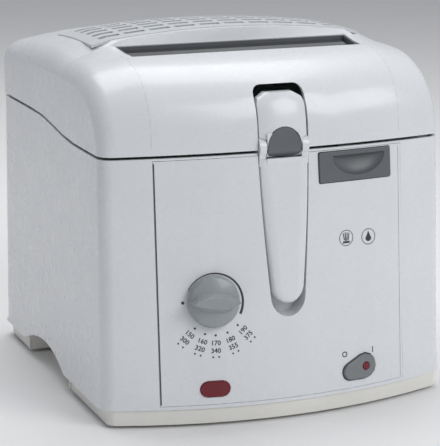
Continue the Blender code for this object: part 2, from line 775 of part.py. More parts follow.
def make_switch():
    spot = front_frame(SWITCH_X, SWITCH_Z)
    pivot = spot @ Vector((0, 5 * MM, 0))
    rocker = front_prism(SWITCH_X, SWITCH_Z, switch_outline(), -2.2 * MM, 7 * MM, 0.9 * MM)
    switch = add_object("power_switch", rocker, finish("switch_grey", (0.17, 0.18, 0.19), 0.35), pivot)
    turn = math.radians(SWITCH_TILT)
    end = SWITCH_SPACING / 2
    lamp_spot = (end * math.cos(turn), end * math.sin(turn))
    round_hole = [(lamp_spot[0] + 3.4 * MM * math.cos(a * math.pi / 6),
                   lamp_spot[1] + 3.4 * MM * math.sin(a * math.pi / 6))
                  for a in range(12)]
    cut(switch, "cut_indicator_seat", front_prism(SWITCH_X, SWITCH_Z, round_hole, -8 * MM, 1 * MM))
    round_lens = [(lamp_spot[0] + 3 * MM * math.cos(a * math.pi / 6),
                   lamp_spot[1] + 3 * MM * math.sin(a * math.pi / 6))
                  for a in range(12)]
    lens = front_prism(SWITCH_X, SWITCH_Z, round_lens, -2.4 * MM, 1 * MM - GAP, 0.4 * MM)
    add_object("switch_indicator", lens, finish("red_lens", (0.22, 0.004, 0.01), 0.15), pivot)
    body = front_prism(SWITCH_X, SWITCH_Z, switch_outline(3 * MM), WALL + 8 * MM, WALL + 22 * MM, 0.8 * MM)
    add_object("switch_body", body, black())


def make_release_button():
    spot = front_frame(BUTTON_X, BUTTON_Z)
    pivot = spot.translation
    face = -0.6 * MM
    shape = front_prism(BUTTON_X, BUTTON_Z, button_outline(), face, BUTTON_DEPTH, 0.6 * MM)
    button = add_object("lid_release_button", shape, grey(), pivot)
    scoop = bmesh.new()
    bmesh.ops.create_uvsphere(scoop, u_segments=32, v_segments=16, radius=1.0)
    bmesh.ops.scale(scoop, vec=SCOOP_RADII, verts=scoop.verts)
    bmesh.ops.translate(scoop, vec=(SCOOP_SHIFT, -1.5 * MM, SCOOP_TOP), verts=scoop.verts)
    bmesh.ops.bisect_plane(scoop, geom=scoop.verts[:] + scoop.edges[:] + scoop.faces[:],
                           plane_co=(0, 0, SCOOP_TOP), plane_no=(0, 0, 1), clear_outer=True)
    bmesh.ops.holes_fill(scoop, edges=scoop.edges)
    bmesh.ops.recalc_face_normals(scoop, faces=scoop.faces)
    bmesh.ops.transform(scoop, matrix=spot, verts=scoop.verts)
    cut(button, "cut_finger_scoop", scoop)
    coil = []
    turns = 5
    start = BUTTON_DEPTH + 1.2 * MM
    length = 9 * MM
    for step in range(turns * 10 + 1):
        angle = 2 * math.pi * step / 10
        depth = start + length * step / (turns * 10)
        coil.append(spot @ Vector((4 * MM * math.cos(angle), depth, 4 * MM * math.sin(angle) - 3 * MM)))
    spring = wire("release_spring", coil, 0.5 * MM, steel())
    spring.data.bevel_resolution = 0


def latch_place():
    """(x, y, z) of the latch hook's nose, just under the lid's catch."""
    return (BUTTON_X, front_y(BUTTON_X, 1) + LATCH_SET_BACK, PART_FRONT_Z + 4 * MM)


def make_latch():
    x, y, z = latch_place()
    outline = [(y, z - 18 * MM), (y + 4 * MM, z - 18 * MM), (y + 4 * MM, z + 2 * MM),
               (y - 2 * MM, z + 2 * MM), (y - 3.4 * MM, z), (y, z - 1 * MM)]
    hook = prism([(x - 7 * MM, py, pz) for py, pz in outline], (14 * MM, 0, 0))
    add_object("latch_hook", hook, steel(), (x, y, z))
    catch_y = y - 3.4 * MM - FIT
    outline = [(catch_y, z - 4.5 * MM), (catch_y, LINER_Z + 6 * MM), (catch_y - 2.5 * MM, LINER_Z + 6 * MM),
               (catch_y - 2.5 * MM, z - 4.5 * MM)]
    catch = prism([(x - 6 * MM, py, pz) for py, pz in outline], (12 * MM, 0, 0))
    catch = add_object("lid_catch", catch, steel())
    join(catch, "add_catch_foot", block((x - 14 * MM, catch_y - 2.5 * MM, LINER_Z + LINER_THICK + GAP),
                                        (x + 14 * MM, catch_y, LINER_Z + 6 * MM)), "MANIFOLD")


# ---------------------------------------------------------------------------
# Bowl, basket and heater
# ---------------------------------------------------------------------------


def bowl_outline(grow=0.0):
    radius = max(BOWL_CORNER + grow, 4 * MM)
    return rounded_rectangle((-BOWL_HALF - grow, BOWL_FRONT - grow), (BOWL_HALF + grow, BOWL_REAR + grow),
                             radius)


def make_bowl():
    floor_round = 8 * MM
    rim = DECK_Z + GAP + BOWL_WALL
    rings = [at_height(bowl_outline(-floor_round), BOWL_LOW_Z),
             at_height(bowl_outline(-floor_round * 0.3), BOWL_LOW_Z + floor_round * 0.3),
             at_height(bowl_outline(), BOWL_LOW_Z + floor_round),
             at_height(bowl_outline(), DECK_Z + GAP), at_height(bowl_outline(BOWL_FLANGE), DECK_Z + GAP),
             at_height(bowl_outline(BOWL_FLANGE), rim), at_height(bowl_outline(-BOWL_WALL), rim),
             at_height(bowl_outline(-BOWL_WALL), BOWL_LOW_Z + floor_round),
             at_height(bowl_outline(-BOWL_WALL - floor_round * 0.3),
                       BOWL_LOW_Z + floor_round * 0.3 + BOWL_WALL),
             at_height(bowl_outline(-BOWL_WALL - floor_round), BOWL_LOW_Z + BOWL_WALL)]
    add_object("oil_bowl", loft(rings), finish("dark_nonstick", (0.06, 0.06, 0.065), 0.35, 0.6))


def make_deck():
    outer = case_outline(0.97, WALL + 2 * GAP)
    deck_low = DECK_Z - DECK_THICK
    deck = add_object("rim_deck", loft([at_height(outer, deck_low), at_height(outer, DECK_Z)]), white())
    cut(deck, "cut_bowl_opening",
        loft([at_height(bowl_outline(1 * MM), deck_low - 5 * MM),
              at_height(bowl_outline(1 * MM), DECK_Z + 5 * MM)]))
    channel = channel_solid(3 * MM, CHANNEL_DEPTH + 3 * MM)
    cut(deck, "cut_handle_notch", channel)
    x, y, z = latch_place()
    cut(deck, "cut_latch_slot", block((x - 9 * MM, y - 9 * MM, deck_low - 5 * MM),
                                      (x + 9 * MM, y + 9.5 * MM, DECK_Z + 5 * MM)))
    cut(deck, "cut_button_room",
        front_prism(BUTTON_X, BUTTON_Z, button_outline(1.5 * MM), -10 * MM,
                    BUTTON_DEPTH + BUTTON_TRAVEL + 1 * MM))
    cut(deck, "cut_panel_room", bowed_slab(PANEL_HALF + PANEL_FLANGE + 1 * MM, 150 * MM, 230 * MM, -20 * MM,
                                           WALL + GAP + 2.4 * MM))


def make_basket():
    grow = -BOWL_WALL - BASKET_GAP
    inside = grow - BASKET_WALL
    floor_top = BASKET_LOW_Z + BASKET_ROUND + BASKET_WALL / 2
    rings = [at_height(bowl_outline(grow - BASKET_ROUND), BASKET_LOW_Z),
             at_height(bowl_outline(grow), BASKET_LOW_Z + BASKET_ROUND),
             at_height(bowl_outline(grow), BASKET_TOP_Z), at_height(bowl_outline(inside), BASKET_TOP_Z),
             at_height(bowl_outline(inside), floor_top),
             at_height(bowl_outline(inside - BASKET_ROUND), BASKET_LOW_Z + BASKET_WALL)]
    add_object("basket", loft(rings), steel())


def bracket_front(z):
    """Front face of the bracket: round the knuckle up to the pivot, then leaning back to its top."""
    if z < PIVOT_Z:
        return PIVOT_Y - math.sqrt(max(KNUCKLE_RADIUS ** 2 - (z - PIVOT_Z) ** 2, 0))
    share = (z - PIVOT_Z) / (BRACKET_TOP_Z - PIVOT_Z)
    return PIVOT_Y - KNUCKLE_RADIUS + 4 * MM * share + 7 * MM * share ** 4


def make_bracket():
    half = HANDLE_HALF_TOP - 0.6 * MM
    low = PIVOT_Z + KNUCKLE_RADIUS * 0.2
    steps = 10
    rings = []
    for step in range(steps + 1):
        z = low + (BRACKET_TOP_Z - low) * step / steps
        left = BRACKET_TOP_Z - z
        corner = 9 * MM
        pull = corner - math.sqrt(max(corner ** 2 - max(corner - left, 0) ** 2, 0)) if left < corner else 0
        wide = half - pull * 0.9
        face = bracket_front(z)
        crown = 3.5 * MM
        ring = []
        for share in (-1, -0.85, -0.6, -0.3, 0, 0.3, 0.6, 0.85, 1):
            ring.append((wide * share, face + crown * abs(share) ** 2.5, z))
        ring += [(wide, face + BRACKET_THICK, z), (-wide, face + BRACKET_THICK, z)]
        rings.append(ring)
    bracket = add_object("basket_bracket", loft(rings), white())
    knuckle = rod((-KNUCKLE_HALF, PIVOT_Y, PIVOT_Z), (KNUCKLE_HALF, PIVOT_Y, PIVOT_Z), KNUCKLE_RADIUS, 24)
    cheek = helper("cut_cheek_room", rod((-40 * MM, PIVOT_Y, PIVOT_Z), (40 * MM, PIVOT_Y, PIVOT_Z),
                                         KNUCKLE_RADIUS + FIT, 24))
    boolean(bracket, "DIFFERENCE", cheek, "MANIFOLD")
    join(bracket, "add_knuckle", knuckle, "MANIFOLD")
    neck = block((-KNUCKLE_HALF, PIVOT_Y - KNUCKLE_RADIUS + 0.4 * MM, PIVOT_Z + 2 * MM),
                 (KNUCKLE_HALF, PIVOT_Y + KNUCKLE_RADIUS - 2 * MM, PIVOT_Z + KNUCKLE_RADIUS + 3 * MM))
    join(bracket, "add_knuckle_neck", neck, "MANIFOLD")
    basket_front = BOWL_FRONT + BOWL_WALL + BASKET_GAP
    hang = basket_front - GAP - 4 * MM
    start = bracket_front(ARM_LOW_Z) + 3 * MM
    outline = [(start, ARM_LOW_Z), (hang, ARM_LOW_Z), (hang, BASKET_TOP_Z - 24 * MM),
               (hang + 4 * MM, BASKET_TOP_Z - 24 * MM), (hang + 4 * MM, ARM_TOP_Z), (start, ARM_TOP_Z)]
    join(bracket, "add_arm", prism([(-ARM_HALF, y, z) for y, z in outline], (2 * ARM_HALF, 0, 0)),
         "MANIFOLD")
    cut(bracket, "cut_pin_bore",
        rod((-40 * MM, PIVOT_Y, PIVOT_Z), (40 * MM, PIVOT_Y, PIVOT_Z), PIN_RADIUS + GAP, 16), "MANIFOLD")
    cut(bracket, "cut_lock_seat", lock_shape(FIT, 9 * MM, LOCK_THICK + LOCK_TRAVEL + GAP), "MANIFOLD")
    for side in (-1, 1):
        x, z = side * 5 * MM, BASKET_TOP_Z - 12 * MM
        rivet = [(0, hang - 1.2 * MM), (2.4 * MM, hang - 0.3 * MM), (2.4 * MM, hang - GAP), (0, hang - GAP)]
        turn = Matrix.Translation((x, 0, z)) @ Matrix.Rotation(math.radians(-90), 4, "X")
        add_object("bracket_rivet_" + ("left" if side < 0 else "right"), turned(rivet, turn, 12), steel())
    pin = rod((-HANDLE_HALF_TOP + 1.2 * MM, PIVOT_Y, PIVOT_Z),
              (HANDLE_HALF_TOP - 1.2 * MM, PIVOT_Y, PIVOT_Z), PIN_RADIUS, 16)
    add_object("handle_pin", pin, steel())


def lock_shape(grow, front, depth):
    """The lock button's outline, a tall arch over a shallow one, as a solid through the bracket's face."""
    steps = 8
    rings = []
    for step in range(-steps, steps + 1):
        angle = math.radians(LOCK_END_ANGLE) * step / steps
        rise_to = LOCK_TOP_Z + grow if angle > 0 else LOCK_LOW_Z - grow
        z = LOCK_CORNER_Z + (rise_to - LOCK_CORNER_Z) * abs(math.sin(angle)) ** 0.8
        wide = (LOCK_HALF + grow) * math.cos(angle)
        near = bracket_front(z) - front
        far = bracket_front(z) + depth
        rings.append([(-wide, near, z), (wide, near, z), (wide, far, z), (-wide, far, z)])
    return loft(rings)


def make_lock_button():
    button = lock_shape(0, -0.2 * MM, LOCK_THICK)
    add_object("handle_lock_button", button, grey(), (0, bracket_front(LOCK_LOW_Z), LOCK_LOW_Z))


def make_handle():
    proud = HANDLE_PROUD
    outline_top = PIVOT_Z - KNUCKLE_RADIUS - 0.4 * MM
    outline = handle_outline(0, 0, outline_top)
    rings = []
    middle_z = (outline_top + HANDLE_TIP_Z) / 2
    for share, depth in ((0.55, -proud), (0.82, -proud + 0.5 * MM), (0.96, -proud + 2 * MM),
                         (1.0, -proud + 4.4 * MM),
                         (1.0, HANDLE_THICK - proud - 1 * MM), (0.93, HANDLE_THICK - proud)):
        ring = []
        for x, z in outline:
            shrunk_z = z if z > middle_z else middle_z + (z - middle_z) * (1 - (1 - share) * 0.22)
            if z > outline_top - 0.1 * MM:
                shrunk_z = z
            ring.append((x * share, front_y(0, rise(shrunk_z)) + depth, shrunk_z))
        rings.append(ring)
    handle = add_object("folding_handle", loft(rings), white(), (0, PIVOT_Y, PIVOT_Z))
    for side in (-1, 1):
        x0, x1 = sorted((side * (KNUCKLE_HALF + 0.6 * MM), side * HANDLE_HALF_TOP))
        lug = rod((x0, PIVOT_Y, PIVOT_Z), (x1, PIVOT_Y, PIVOT_Z), KNUCKLE_RADIUS, 24)
        join(handle, f"add_lug_{side}", lug, "MANIFOLD")
        root_low = (x0, PIVOT_Y - 6 * MM, outline_top - 5 * MM)
        root_high = (x1, PIVOT_Y + 0.5 * MM, PIVOT_Z - 3 * MM)
        join(handle, f"add_lug_root_{side}", block(root_low, root_high), "MANIFOLD")
    cut(handle, "cut_handle_bore",
        rod((-40 * MM, PIVOT_Y, PIVOT_Z), (40 * MM, PIVOT_Y, PIVOT_Z), PIN_RADIUS + GAP, 16), "MANIFOLD")


def make_heater():
    ring = []
    steps = 36
    for step in range(steps + 1):
        angle = math.radians(-80 + 340 * step / steps)
        ring.append((72 * MM * math.sin(angle), -6 * MM + 66 * MM * -math.cos(angle),
                     BOWL_LOW_Z - GAP - HEATER_TUBE))
    wire("heating_element", ring, HEATER_TUBE, steel())
    low = SHIELD_LOW_Z
    high = BOWL_LOW_Z + 14 * MM
    grow = 5 * MM
    wall = 0.8 * MM
    rings = [at_height(bowl_outline(-6 * MM), low), at_height(bowl_outline(grow), low + 12 * MM),
             at_height(bowl_outline(grow), high), at_height(bowl_outline(grow - wall), high),
             at_height(bowl_outline(grow - wall), low + 12 * MM + wall / 2),
             at_height(bowl_outline(-6 * MM - wall), low + wall)]
    add_object("heat_shield", loft(rings), finish("bare_aluminium", (0.55, 0.56, 0.57), 0.4, 1.0))
    add_object("sensor_bulb", rod((-40 * MM, 10 * MM, BOWL_LOW_Z - GAP - 3 * MM),
                                  (10 * MM, 10 * MM, BOWL_LOW_Z - GAP - 3 * MM),
                                  2.4 * MM, 14), finish("copper", (0.6, 0.3, 0.2), 0.35, 1.0))


# ---------------------------------------------------------------------------
# Mains inlet
# ---------------------------------------------------------------------------

def inlet_shape(grow, start, end):
    """A rounded block through the back wall, from start inside the back face to end behind it."""
    outline = rounded_rectangle((INLET_X - INLET_HALF_WIDTH - grow, INLET_Z - INLET_HALF_HEIGHT - grow),
                                (INLET_X + INLET_HALF_WIDTH + grow, INLET_Z + INLET_HALF_HEIGHT + grow),
                                3 * MM, 2)
    near = back_y(rise(INLET_Z)) + start
    return prism([(x, near, z) for x, z in outline], (0, end - start, 0))


def make_inlet():
    inlet = add_object("mains_inlet", inlet_shape(0, -22 * MM, -0.2 * MM), black())
    face = back_y(rise(INLET_Z))
    cut(inlet, "cut_inlet_socket",
        block((INLET_X - 13 * MM, face - 17 * MM, INLET_Z - 9 * MM),
              (INLET_X + 13 * MM, face + 5 * MM, INLET_Z + 9 * MM)))
    for name, offset in (("inlet_pin_left", -6.5 * MM), ("inlet_pin_right", 6.5 * MM)):
        x = INLET_X + offset
        cut(inlet, f"cut_{name}", rod((x, face - 24 * MM, INLET_Z), (x, face - 15 * MM, INLET_Z),
                                      2 * MM + GAP, 12))
        add_object(name, rod((x, face - 23 * MM, INLET_Z), (x, face - 6 * MM, INLET_Z), 2 * MM, 12),
                   steel())


# ---------------------------------------------------------------------------
# Lid
# ---------------------------------------------------------------------------


def side_share(x):
    """0 over the lid's flat middle, 1 at its end faces."""
    beyond = max(abs(x) - FLAT_HALF, 0) / (half_width(1) - FLAT_HALF)
    return beyond ** 1.4


def crown_z(x, y):
    """Height of the lid's crowned top."""
    u = abs(x) / half_width(1)
    mix = 0.63 * u * u + 0.37 * side_share(x)
    rear = (y - CROWN_PEAK_Y) / (CASE_BACK - CROWN_PEAK_Y)
    front = (CROWN_PEAK_Y - y) / (CROWN_PEAK_Y - CROWN_FRONT_Y)
    middle = CROWN_Z - (CROWN_REAR_FALL * rear * rear if rear > 0 else CROWN_FRONT_FALL * front * front)
    side = CROWN_SIDE_Z - CROWN_SIDE_FALL * max(y / CASE_BACK, 0) ** 2
    return middle + (side - middle) * mix


def lid_profile(x):
    """The lid's section at x as (y, z) points, from the front of the parting line over to the back."""
    half = half_width(1)
    shift = side_share(x)
    start = front_y(x, 1)
    reach = SHOULDER_Y - start
    height = SHOULDER_RISE + (SHOULDER_RISE_SIDE - SHOULDER_RISE) * shift
    power = 2 / (SHOULDER_POWER - 0.4 * shift)
    points = [(start, PART_FRONT_Z + PART_GAP / 2)]
    steps = 9
    for step in range(steps):
        angle = math.pi / 2 * step / steps
        points.append((SHOULDER_Y - reach * math.cos(angle) ** power,
                       SHOULDER_Z + height * math.sin(angle) ** power))
    points.append((SHOULDER_Y, SHOULDER_Z + height))
    edge = WINDOW_REAR_Z + (SHOULDER_Z + height - WINDOW_REAR_Z) * smooth_step(shift * 2)
    points.append((CROWN_FRONT_Y - 1 * MM, max(edge, SHOULDER_Z + height)))
    fade = 2 * MM + 40 * MM * smooth_step(shift * 2)
    top_steps = 7
    rear = back_y(1) - LID_REAR_RADIUS
    for step in range(top_steps + 1):
        share = (step / top_steps) ** 1.3
        y = CROWN_FRONT_Y + 1 * MM + (rear - CROWN_FRONT_Y - 1 * MM) * share
        lift = smooth_step((y - CROWN_FRONT_Y + 1 * MM) / fade)
        points.append((y, points[10][1] + (crown_z(x, y) - points[10][1]) * lift))
    top = points[-1][1]
    for step in range(1, 4):
        angle = math.pi / 2 * step / 3
        points.append((rear + LID_REAR_RADIUS * math.sin(angle),
                       top - LID_REAR_RADIUS * (1 - math.cos(angle))))
    points.append((back_y(1), PART_REAR_Z + PART_GAP / 2))
    return points


def pulled_in(points, distances):
    """An open outline moved to its inner side, each point by its own distance."""
    moved = []
    last = len(points) - 1
    for index, (y, z) in enumerate(points):
        y0, z0 = points[max(index - 1, 0)]
        y1, z1 = points[min(index + 1, last)]
        length = math.hypot(y1 - y0, z1 - z0)
        moved.append((y + (z1 - z0) / length * distances[index], z - (y1 - y0) / length * distances[index]))
    return moved


def lid_section(x, inset, drop):
    """A closed ring of the lid at x, shrunk by inset, its underside lowered by drop."""
    half = half_width(1) - inset
    profile = lid_profile(x)
    near = half - abs(x)
    distances = []
    for y, z in profile:
        share = min(max((z - PART_FRONT_Z) / (60 * MM), 0), 1)
        radius = max(LID_EDGE_LOW + (LID_EDGE_TOP - LID_EDGE_LOW) * share - inset, 2 * MM)
        short = max(radius - near, 0)
        distances.append(inset + radius - math.sqrt(max(radius * radius - short * short, 0)))
    ring = pulled_in(profile, distances)
    ring[0] = (ring[1][0], part_z(ring[1][0]) + PART_GAP / 2 - drop)
    ring[-1] = (ring[-2][0], part_z(ring[-2][0]) + PART_GAP / 2 - drop)
    front = ring[0][0]
    rear = ring[-1][0]
    steps = 9
    for step in range(1, steps):
        y = rear + (front - rear) * step / steps
        ring.append((y, part_z(y) + PART_GAP / 2 - drop))
    return [(x, y, z) for y, z in ring]


def lid_solid(inset, drop):
    half = half_width(1) - inset
    corner = LID_EDGE_TOP - inset
    places = []
    for step in range(CORNER_STEPS + 1):
        places.append(half - corner * (1 - math.cos(math.pi / 2 * step / CORNER_STEPS)))
    inner = [x for x in (114 * MM, 104 * MM, FLAT_HALF, 80 * MM, 60 * MM, 40 * MM,
                         20 * MM) if x < places[-1] - 2 * MM]
    right = places + inner
    xs = [-x for x in right] + [0.0] + list(reversed(right))
    return loft([lid_section(x, inset, drop) for x in xs])


def window_outline(shrink):
    """Four corners of the window in plan."""
    return [(-WINDOW_FRONT_HALF + shrink, WINDOW_FRONT_Y + shrink),
            (WINDOW_FRONT_HALF - shrink, WINDOW_FRONT_Y + shrink),
            (WINDOW_REAR_HALF - shrink, WINDOW_REAR_Y - shrink),
            (-WINDOW_REAR_HALF + shrink, WINDOW_REAR_Y - shrink)]


def window_z(y):
    share = (y - WINDOW_FRONT_Y) / (WINDOW_REAR_Y - WINDOW_FRONT_Y)
    return WINDOW_FRONT_Z + (WINDOW_REAR_Z - WINDOW_FRONT_Z) * share


def window_block(shrink, top, bottom):
    """The window's outline as a sloping block, from top to bottom measured from the lid's surface."""
    points = window_outline(shrink)
    return loft([[(x, y, window_z(y) + bottom) for x, y in points],
                 [(x, y, window_z(y) + top) for x, y in points]])


def crown_slab(half, front, rear, low, high):
    """A plate that follows the crowned top, between two heights from its surface."""
    rings = []
    columns = 14
    rows = 6
    for step in range(columns + 1):
        x = half * (2 * step / columns - 1)
        ys = [front + (rear - front) * row / rows for row in range(rows + 1)]
        ring = [(x, y, crown_z(x, y) + high) for y in ys]
        ring += [(x, y, crown_z(x, y) + low) for y in reversed(ys)]
        rings.append(ring)
    return loft(rings)


def slot_outline():
    """The notch in the lid's front for the handle bracket, as (x, z) points."""
    corner = 7 * MM
    points = [(SLOT_HALF, PART_FRONT_Z - 20 * MM)]
    for step in range(5):
        angle = math.pi / 2 * step / 4
        points.append((SLOT_HALF - corner + corner * math.cos(angle),
                       SLOT_TOP_Z - corner + corner * math.sin(angle)))
    return points + [(-x, z) for x, z in reversed(points)]


def make_lid():
    pivot = (0, HINGE_Y, HINGE_Z)
    lid = add_object("lid_shell", lid_solid(0, 0), white(), pivot)
    cut(lid, "cut_lid_hollow", lid_solid(LID_WALL, 20 * MM))
    slot = [(x, front_y(0, 1) - 20 * MM, z) for x, z in slot_outline()]
    cut(lid, "cut_handle_slot", prism(slot, (0, 60 * MM, 0)))
    cut(lid, "cut_window_opening", window_block(0, 20 * MM, -25 * MM))
    cut(lid, "cut_cover_rebate", crown_slab(COVER_HALF + GAP, COVER_FRONT_Y - GAP, COVER_REAR_Y + GAP,
                                            -COVER_REBATE, 10 * MM))
    cut(lid, "cut_cover_opening", crown_slab(COVER_HALF - COVER_LEDGE, COVER_FRONT_Y + COVER_LEDGE,
                                             COVER_REAR_Y - COVER_LEDGE, -15 * MM, 10 * MM))

    frame = add_object("window_frame", window_block(GAP, -0.6 * MM, -9 * MM), grey(), pivot)
    cut(frame, "cut_frame_mouth",
        window_block(WINDOW_RIM * 0.6, 10 * MM, -WINDOW_SINK - WINDOW_THICK - GAP))
    cut(frame, "cut_frame_hole", window_block(WINDOW_RIM + 2 * MM, 10 * MM, -20 * MM))
    pane = window_block(WINDOW_RIM * 0.6 + GAP, -WINDOW_SINK, -WINDOW_SINK - WINDOW_THICK)
    add_object("window_pane", pane, finish("smoked_glass", (0.02, 0.022, 0.025), 0.05), pivot)

    liner_outline = case_outline(1, LID_WALL + 5 * MM)
    liner = add_object("lid_liner", loft([at_height(liner_outline, LINER_Z), at_height(liner_outline,
                                                            LINER_Z + LINER_THICK)]),
                       finish("liner_aluminium", (0.6, 0.61, 0.62), 0.35, 1.0), pivot)
    notch = block((-SLOT_HALF - 4 * MM, -200 * MM, LINER_Z - 5 * MM),
                  (SLOT_HALF + 4 * MM, BOWL_FRONT + 14 * MM, LINER_Z + 10 * MM))
    cut(liner, "cut_liner_notch", notch)
    x, y, z = latch_place()
    cut(liner, "cut_catch_slot", block((x - 8 * MM, y - 12 * MM, LINER_Z - 5 * MM),
                                       (x + 8 * MM, y + 9.5 * MM, LINER_Z + 5 * MM)))
    cut(liner, "cut_steam_opening", block((-70 * MM, -8 * MM, LINER_Z - 5 * MM), (70 * MM, 46 * MM,
                                                            LINER_Z + 10 * MM)))
    view = block((-80 * MM, WINDOW_FRONT_Y + 4 * MM, LINER_Z - 5 * MM),
                 (80 * MM, WINDOW_REAR_Y + 6 * MM, LINER_Z + 10 * MM))
    cut(liner, "cut_view_opening", view)

    rim = DECK_Z + GAP + BOWL_WALL
    outer = bowl_outline(BOWL_FLANGE - 1 * MM)
    inner = bowl_outline(1 * MM)
    seal = loft([at_height(outer, rim + GAP), at_height(outer, LINER_Z - GAP),
                 at_height(inner, LINER_Z - GAP),
                 at_height(inner, rim + GAP)], around=True)
    gasket = add_object("lid_gasket", seal, finish("seal_rubber", (0.12, 0.12, 0.12), 0.7), pivot)
    cut(gasket, "cut_gasket_notch", block((-SLOT_HALF - 4 * MM, -200 * MM, rim - 5 * MM),
                                          (SLOT_HALF + 4 * MM, BOWL_FRONT + 14 * MM, LINER_Z + 10 * MM)))

    cover = add_object("filter_cover", crown_slab(COVER_HALF, COVER_FRONT_Y, COVER_REAR_Y,
                                                  -COVER_REBATE + GAP, 0.5 * MM),
                       finish("cover_plastic", (0.62, 0.64, 0.65), 0.35), (0, COVER_FRONT_Y, CROWN_Z))
    pitch_x = 2 * (COVER_HALF - 8 * MM) / COVER_COLUMNS
    pitch_y = (COVER_REAR_Y - COVER_FRONT_Y - 14 * MM) / COVER_ROWS
    slots = bmesh.new()
    for column in range(COVER_COLUMNS):
        for row in range(COVER_ROWS):
            x = (column - (COVER_COLUMNS - 1) / 2) * pitch_x
            y = COVER_FRONT_Y + 7 * MM + pitch_y * (row + 0.5)
            size = Matrix.Diagonal((pitch_x - 4 * MM, pitch_y - 8.5 * MM, 60 * MM, 1))
            bmesh.ops.create_cube(slots, size=1.0,
                                  matrix=Matrix.Translation((x, y, CROWN_Z - 10 * MM)) @ size)
    cut(cover, "cut_cover_slots", slots)
    cartridge = block((-84 * MM, COVER_FRONT_Y + 12 * MM, 232 * MM),
                      (84 * MM, COVER_REAR_Y - 12 * MM, 258 * MM), 2 * MM, 1)
    add_object("filter_cartridge", cartridge, finish("filter_felt", (0.12, 0.12, 0.12), 0.95), pivot)
    tray_z = LINER_Z + LINER_THICK + GAP
    tray = loft([at_height(rounded_rectangle((-90 * MM, COVER_FRONT_Y + 6 * MM),
                                             (90 * MM, COVER_REAR_Y - 6 * MM), 4 * MM, 2), z)
                 for z in (tray_z, 240 * MM)])
    holder = add_object("filter_holder", tray, finish("cover_plastic", (0.62, 0.64, 0.65), 0.35), pivot)
    cut(holder, "cut_holder_inside", block((-84.5 * MM, COVER_FRONT_Y + 11.5 * MM, 231.6 * MM),
                                           (84.5 * MM, COVER_REAR_Y - 11.5 * MM, 270 * MM)))
    cut(holder, "cut_holder_mouth", block((-66 * MM, COVER_FRONT_Y + 22 * MM, 200 * MM),
                                          (66 * MM, COVER_REAR_Y - 22 * MM, 270 * MM)))


def make_hinge():
    """Two ears on the casing's back, an arm on the lid between them, and the pin through both."""
    pivot = (0, HINGE_Y, HINGE_Z)
    back = back_y(1) + GAP
    low = HINGE_Z - 26 * MM
    plate = block((-HINGE_HALF - 3 * MM, back_y(rise(low)) + GAP, low),
                  (HINGE_HALF + 3 * MM, HINGE_Y - HINGE_RADIUS + 0.8 * MM,
                   HINGE_Z - HINGE_RADIUS - 1 * MM), 0.4 * MM, 1)
    bracket = add_object("hinge_bracket", plate, white())
    ear_inner = HINGE_HALF - HINGE_EAR
    for side in (-1, 1):
        x0, x1 = sorted((side * ear_inner, side * HINGE_HALF))
        web = block((x0 + 0.5 * MM, HINGE_Y - HINGE_RADIUS - 0.8 * MM, HINGE_Z - 12 * MM),
                    (x1 - 0.5 * MM, HINGE_Y + 3.4 * MM, HINGE_Z - 1 * MM))
        join(bracket, f"add_ear_web_{side}", web, "MANIFOLD")
        join(bracket, f"add_ear_{side}", rod((x0, HINGE_Y, HINGE_Z), (x1, HINGE_Y, HINGE_Z), HINGE_RADIUS,
                                             20),
             "MANIFOLD")
        x = side * 28 * MM
        face = HINGE_Y - HINGE_RADIUS + 0.8 * MM + GAP
        turn = Matrix.Translation((x, face, HINGE_Z - 17 * MM)) @ Matrix.Rotation(math.radians(-90), 4, "X")
        head = [(0, 0), (3 * MM, 0), (2.2 * MM, 1.4 * MM), (0, 1.8 * MM)]
        add_object("hinge_screw_" + ("left" if side < 0 else "right"), turned(head, turn, 14), steel())
    cut(bracket, "cut_bracket_bore",
        rod((-80 * MM, HINGE_Y, HINGE_Z), (80 * MM, HINGE_Y, HINGE_Z), HINGE_PIN + GAP, 16), "MANIFOLD")
    half = ear_inner - FIT
    arm = add_object("lid_hinge_arm", block((-half, back, HINGE_Z + 2 * MM), (half, HINGE_Y + 2 * MM,
                                                            HINGE_Z + 15 * MM), 0.4 * MM, 1), white(),
                                                            pivot)
    join(arm, "add_arm_barrel", rod((-half, HINGE_Y, HINGE_Z), (half, HINGE_Y, HINGE_Z),
                                    HINGE_RADIUS - 0.4 * MM, 20))
    cut(arm, "cut_arm_bore", rod((-80 * MM, HINGE_Y, HINGE_Z), (80 * MM, HINGE_Y, HINGE_Z),
                                 HINGE_PIN + GAP, 16))
    add_object("hinge_pin", rod((-HINGE_HALF + 0.5 * MM, HINGE_Y, HINGE_Z),
                                (HINGE_HALF - 0.5 * MM, HINGE_Y, HINGE_Z), HINGE_PIN, 16), steel())


def main():
    clear_scene()
    make_casing()
    make_base()
    make_feet()
    make_front_panel()
    make_knob()
    make_thermostat()
    make_pilot_light()
    make_switch()
    make_release_button()
    make_latch()
    make_bowl()
    make_deck()
    make_basket()
    make_bracket()
    make_lock_button()
    make_handle()
    make_heater()
    make_inlet()
    make_lid()
    make_hinge()


main()
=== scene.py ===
# %% [markdown]
# A compact household deep fryer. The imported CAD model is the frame: it fixes where every piece is
# and how it moves. This script adds the finish, the printed marks, the woven basket and the small
# trim, and sets a plain studio round it.

import json
import math

import bmesh
import bpy
from mathutils import Matrix, Vector
from mathutils.bvhtree import BVHTree


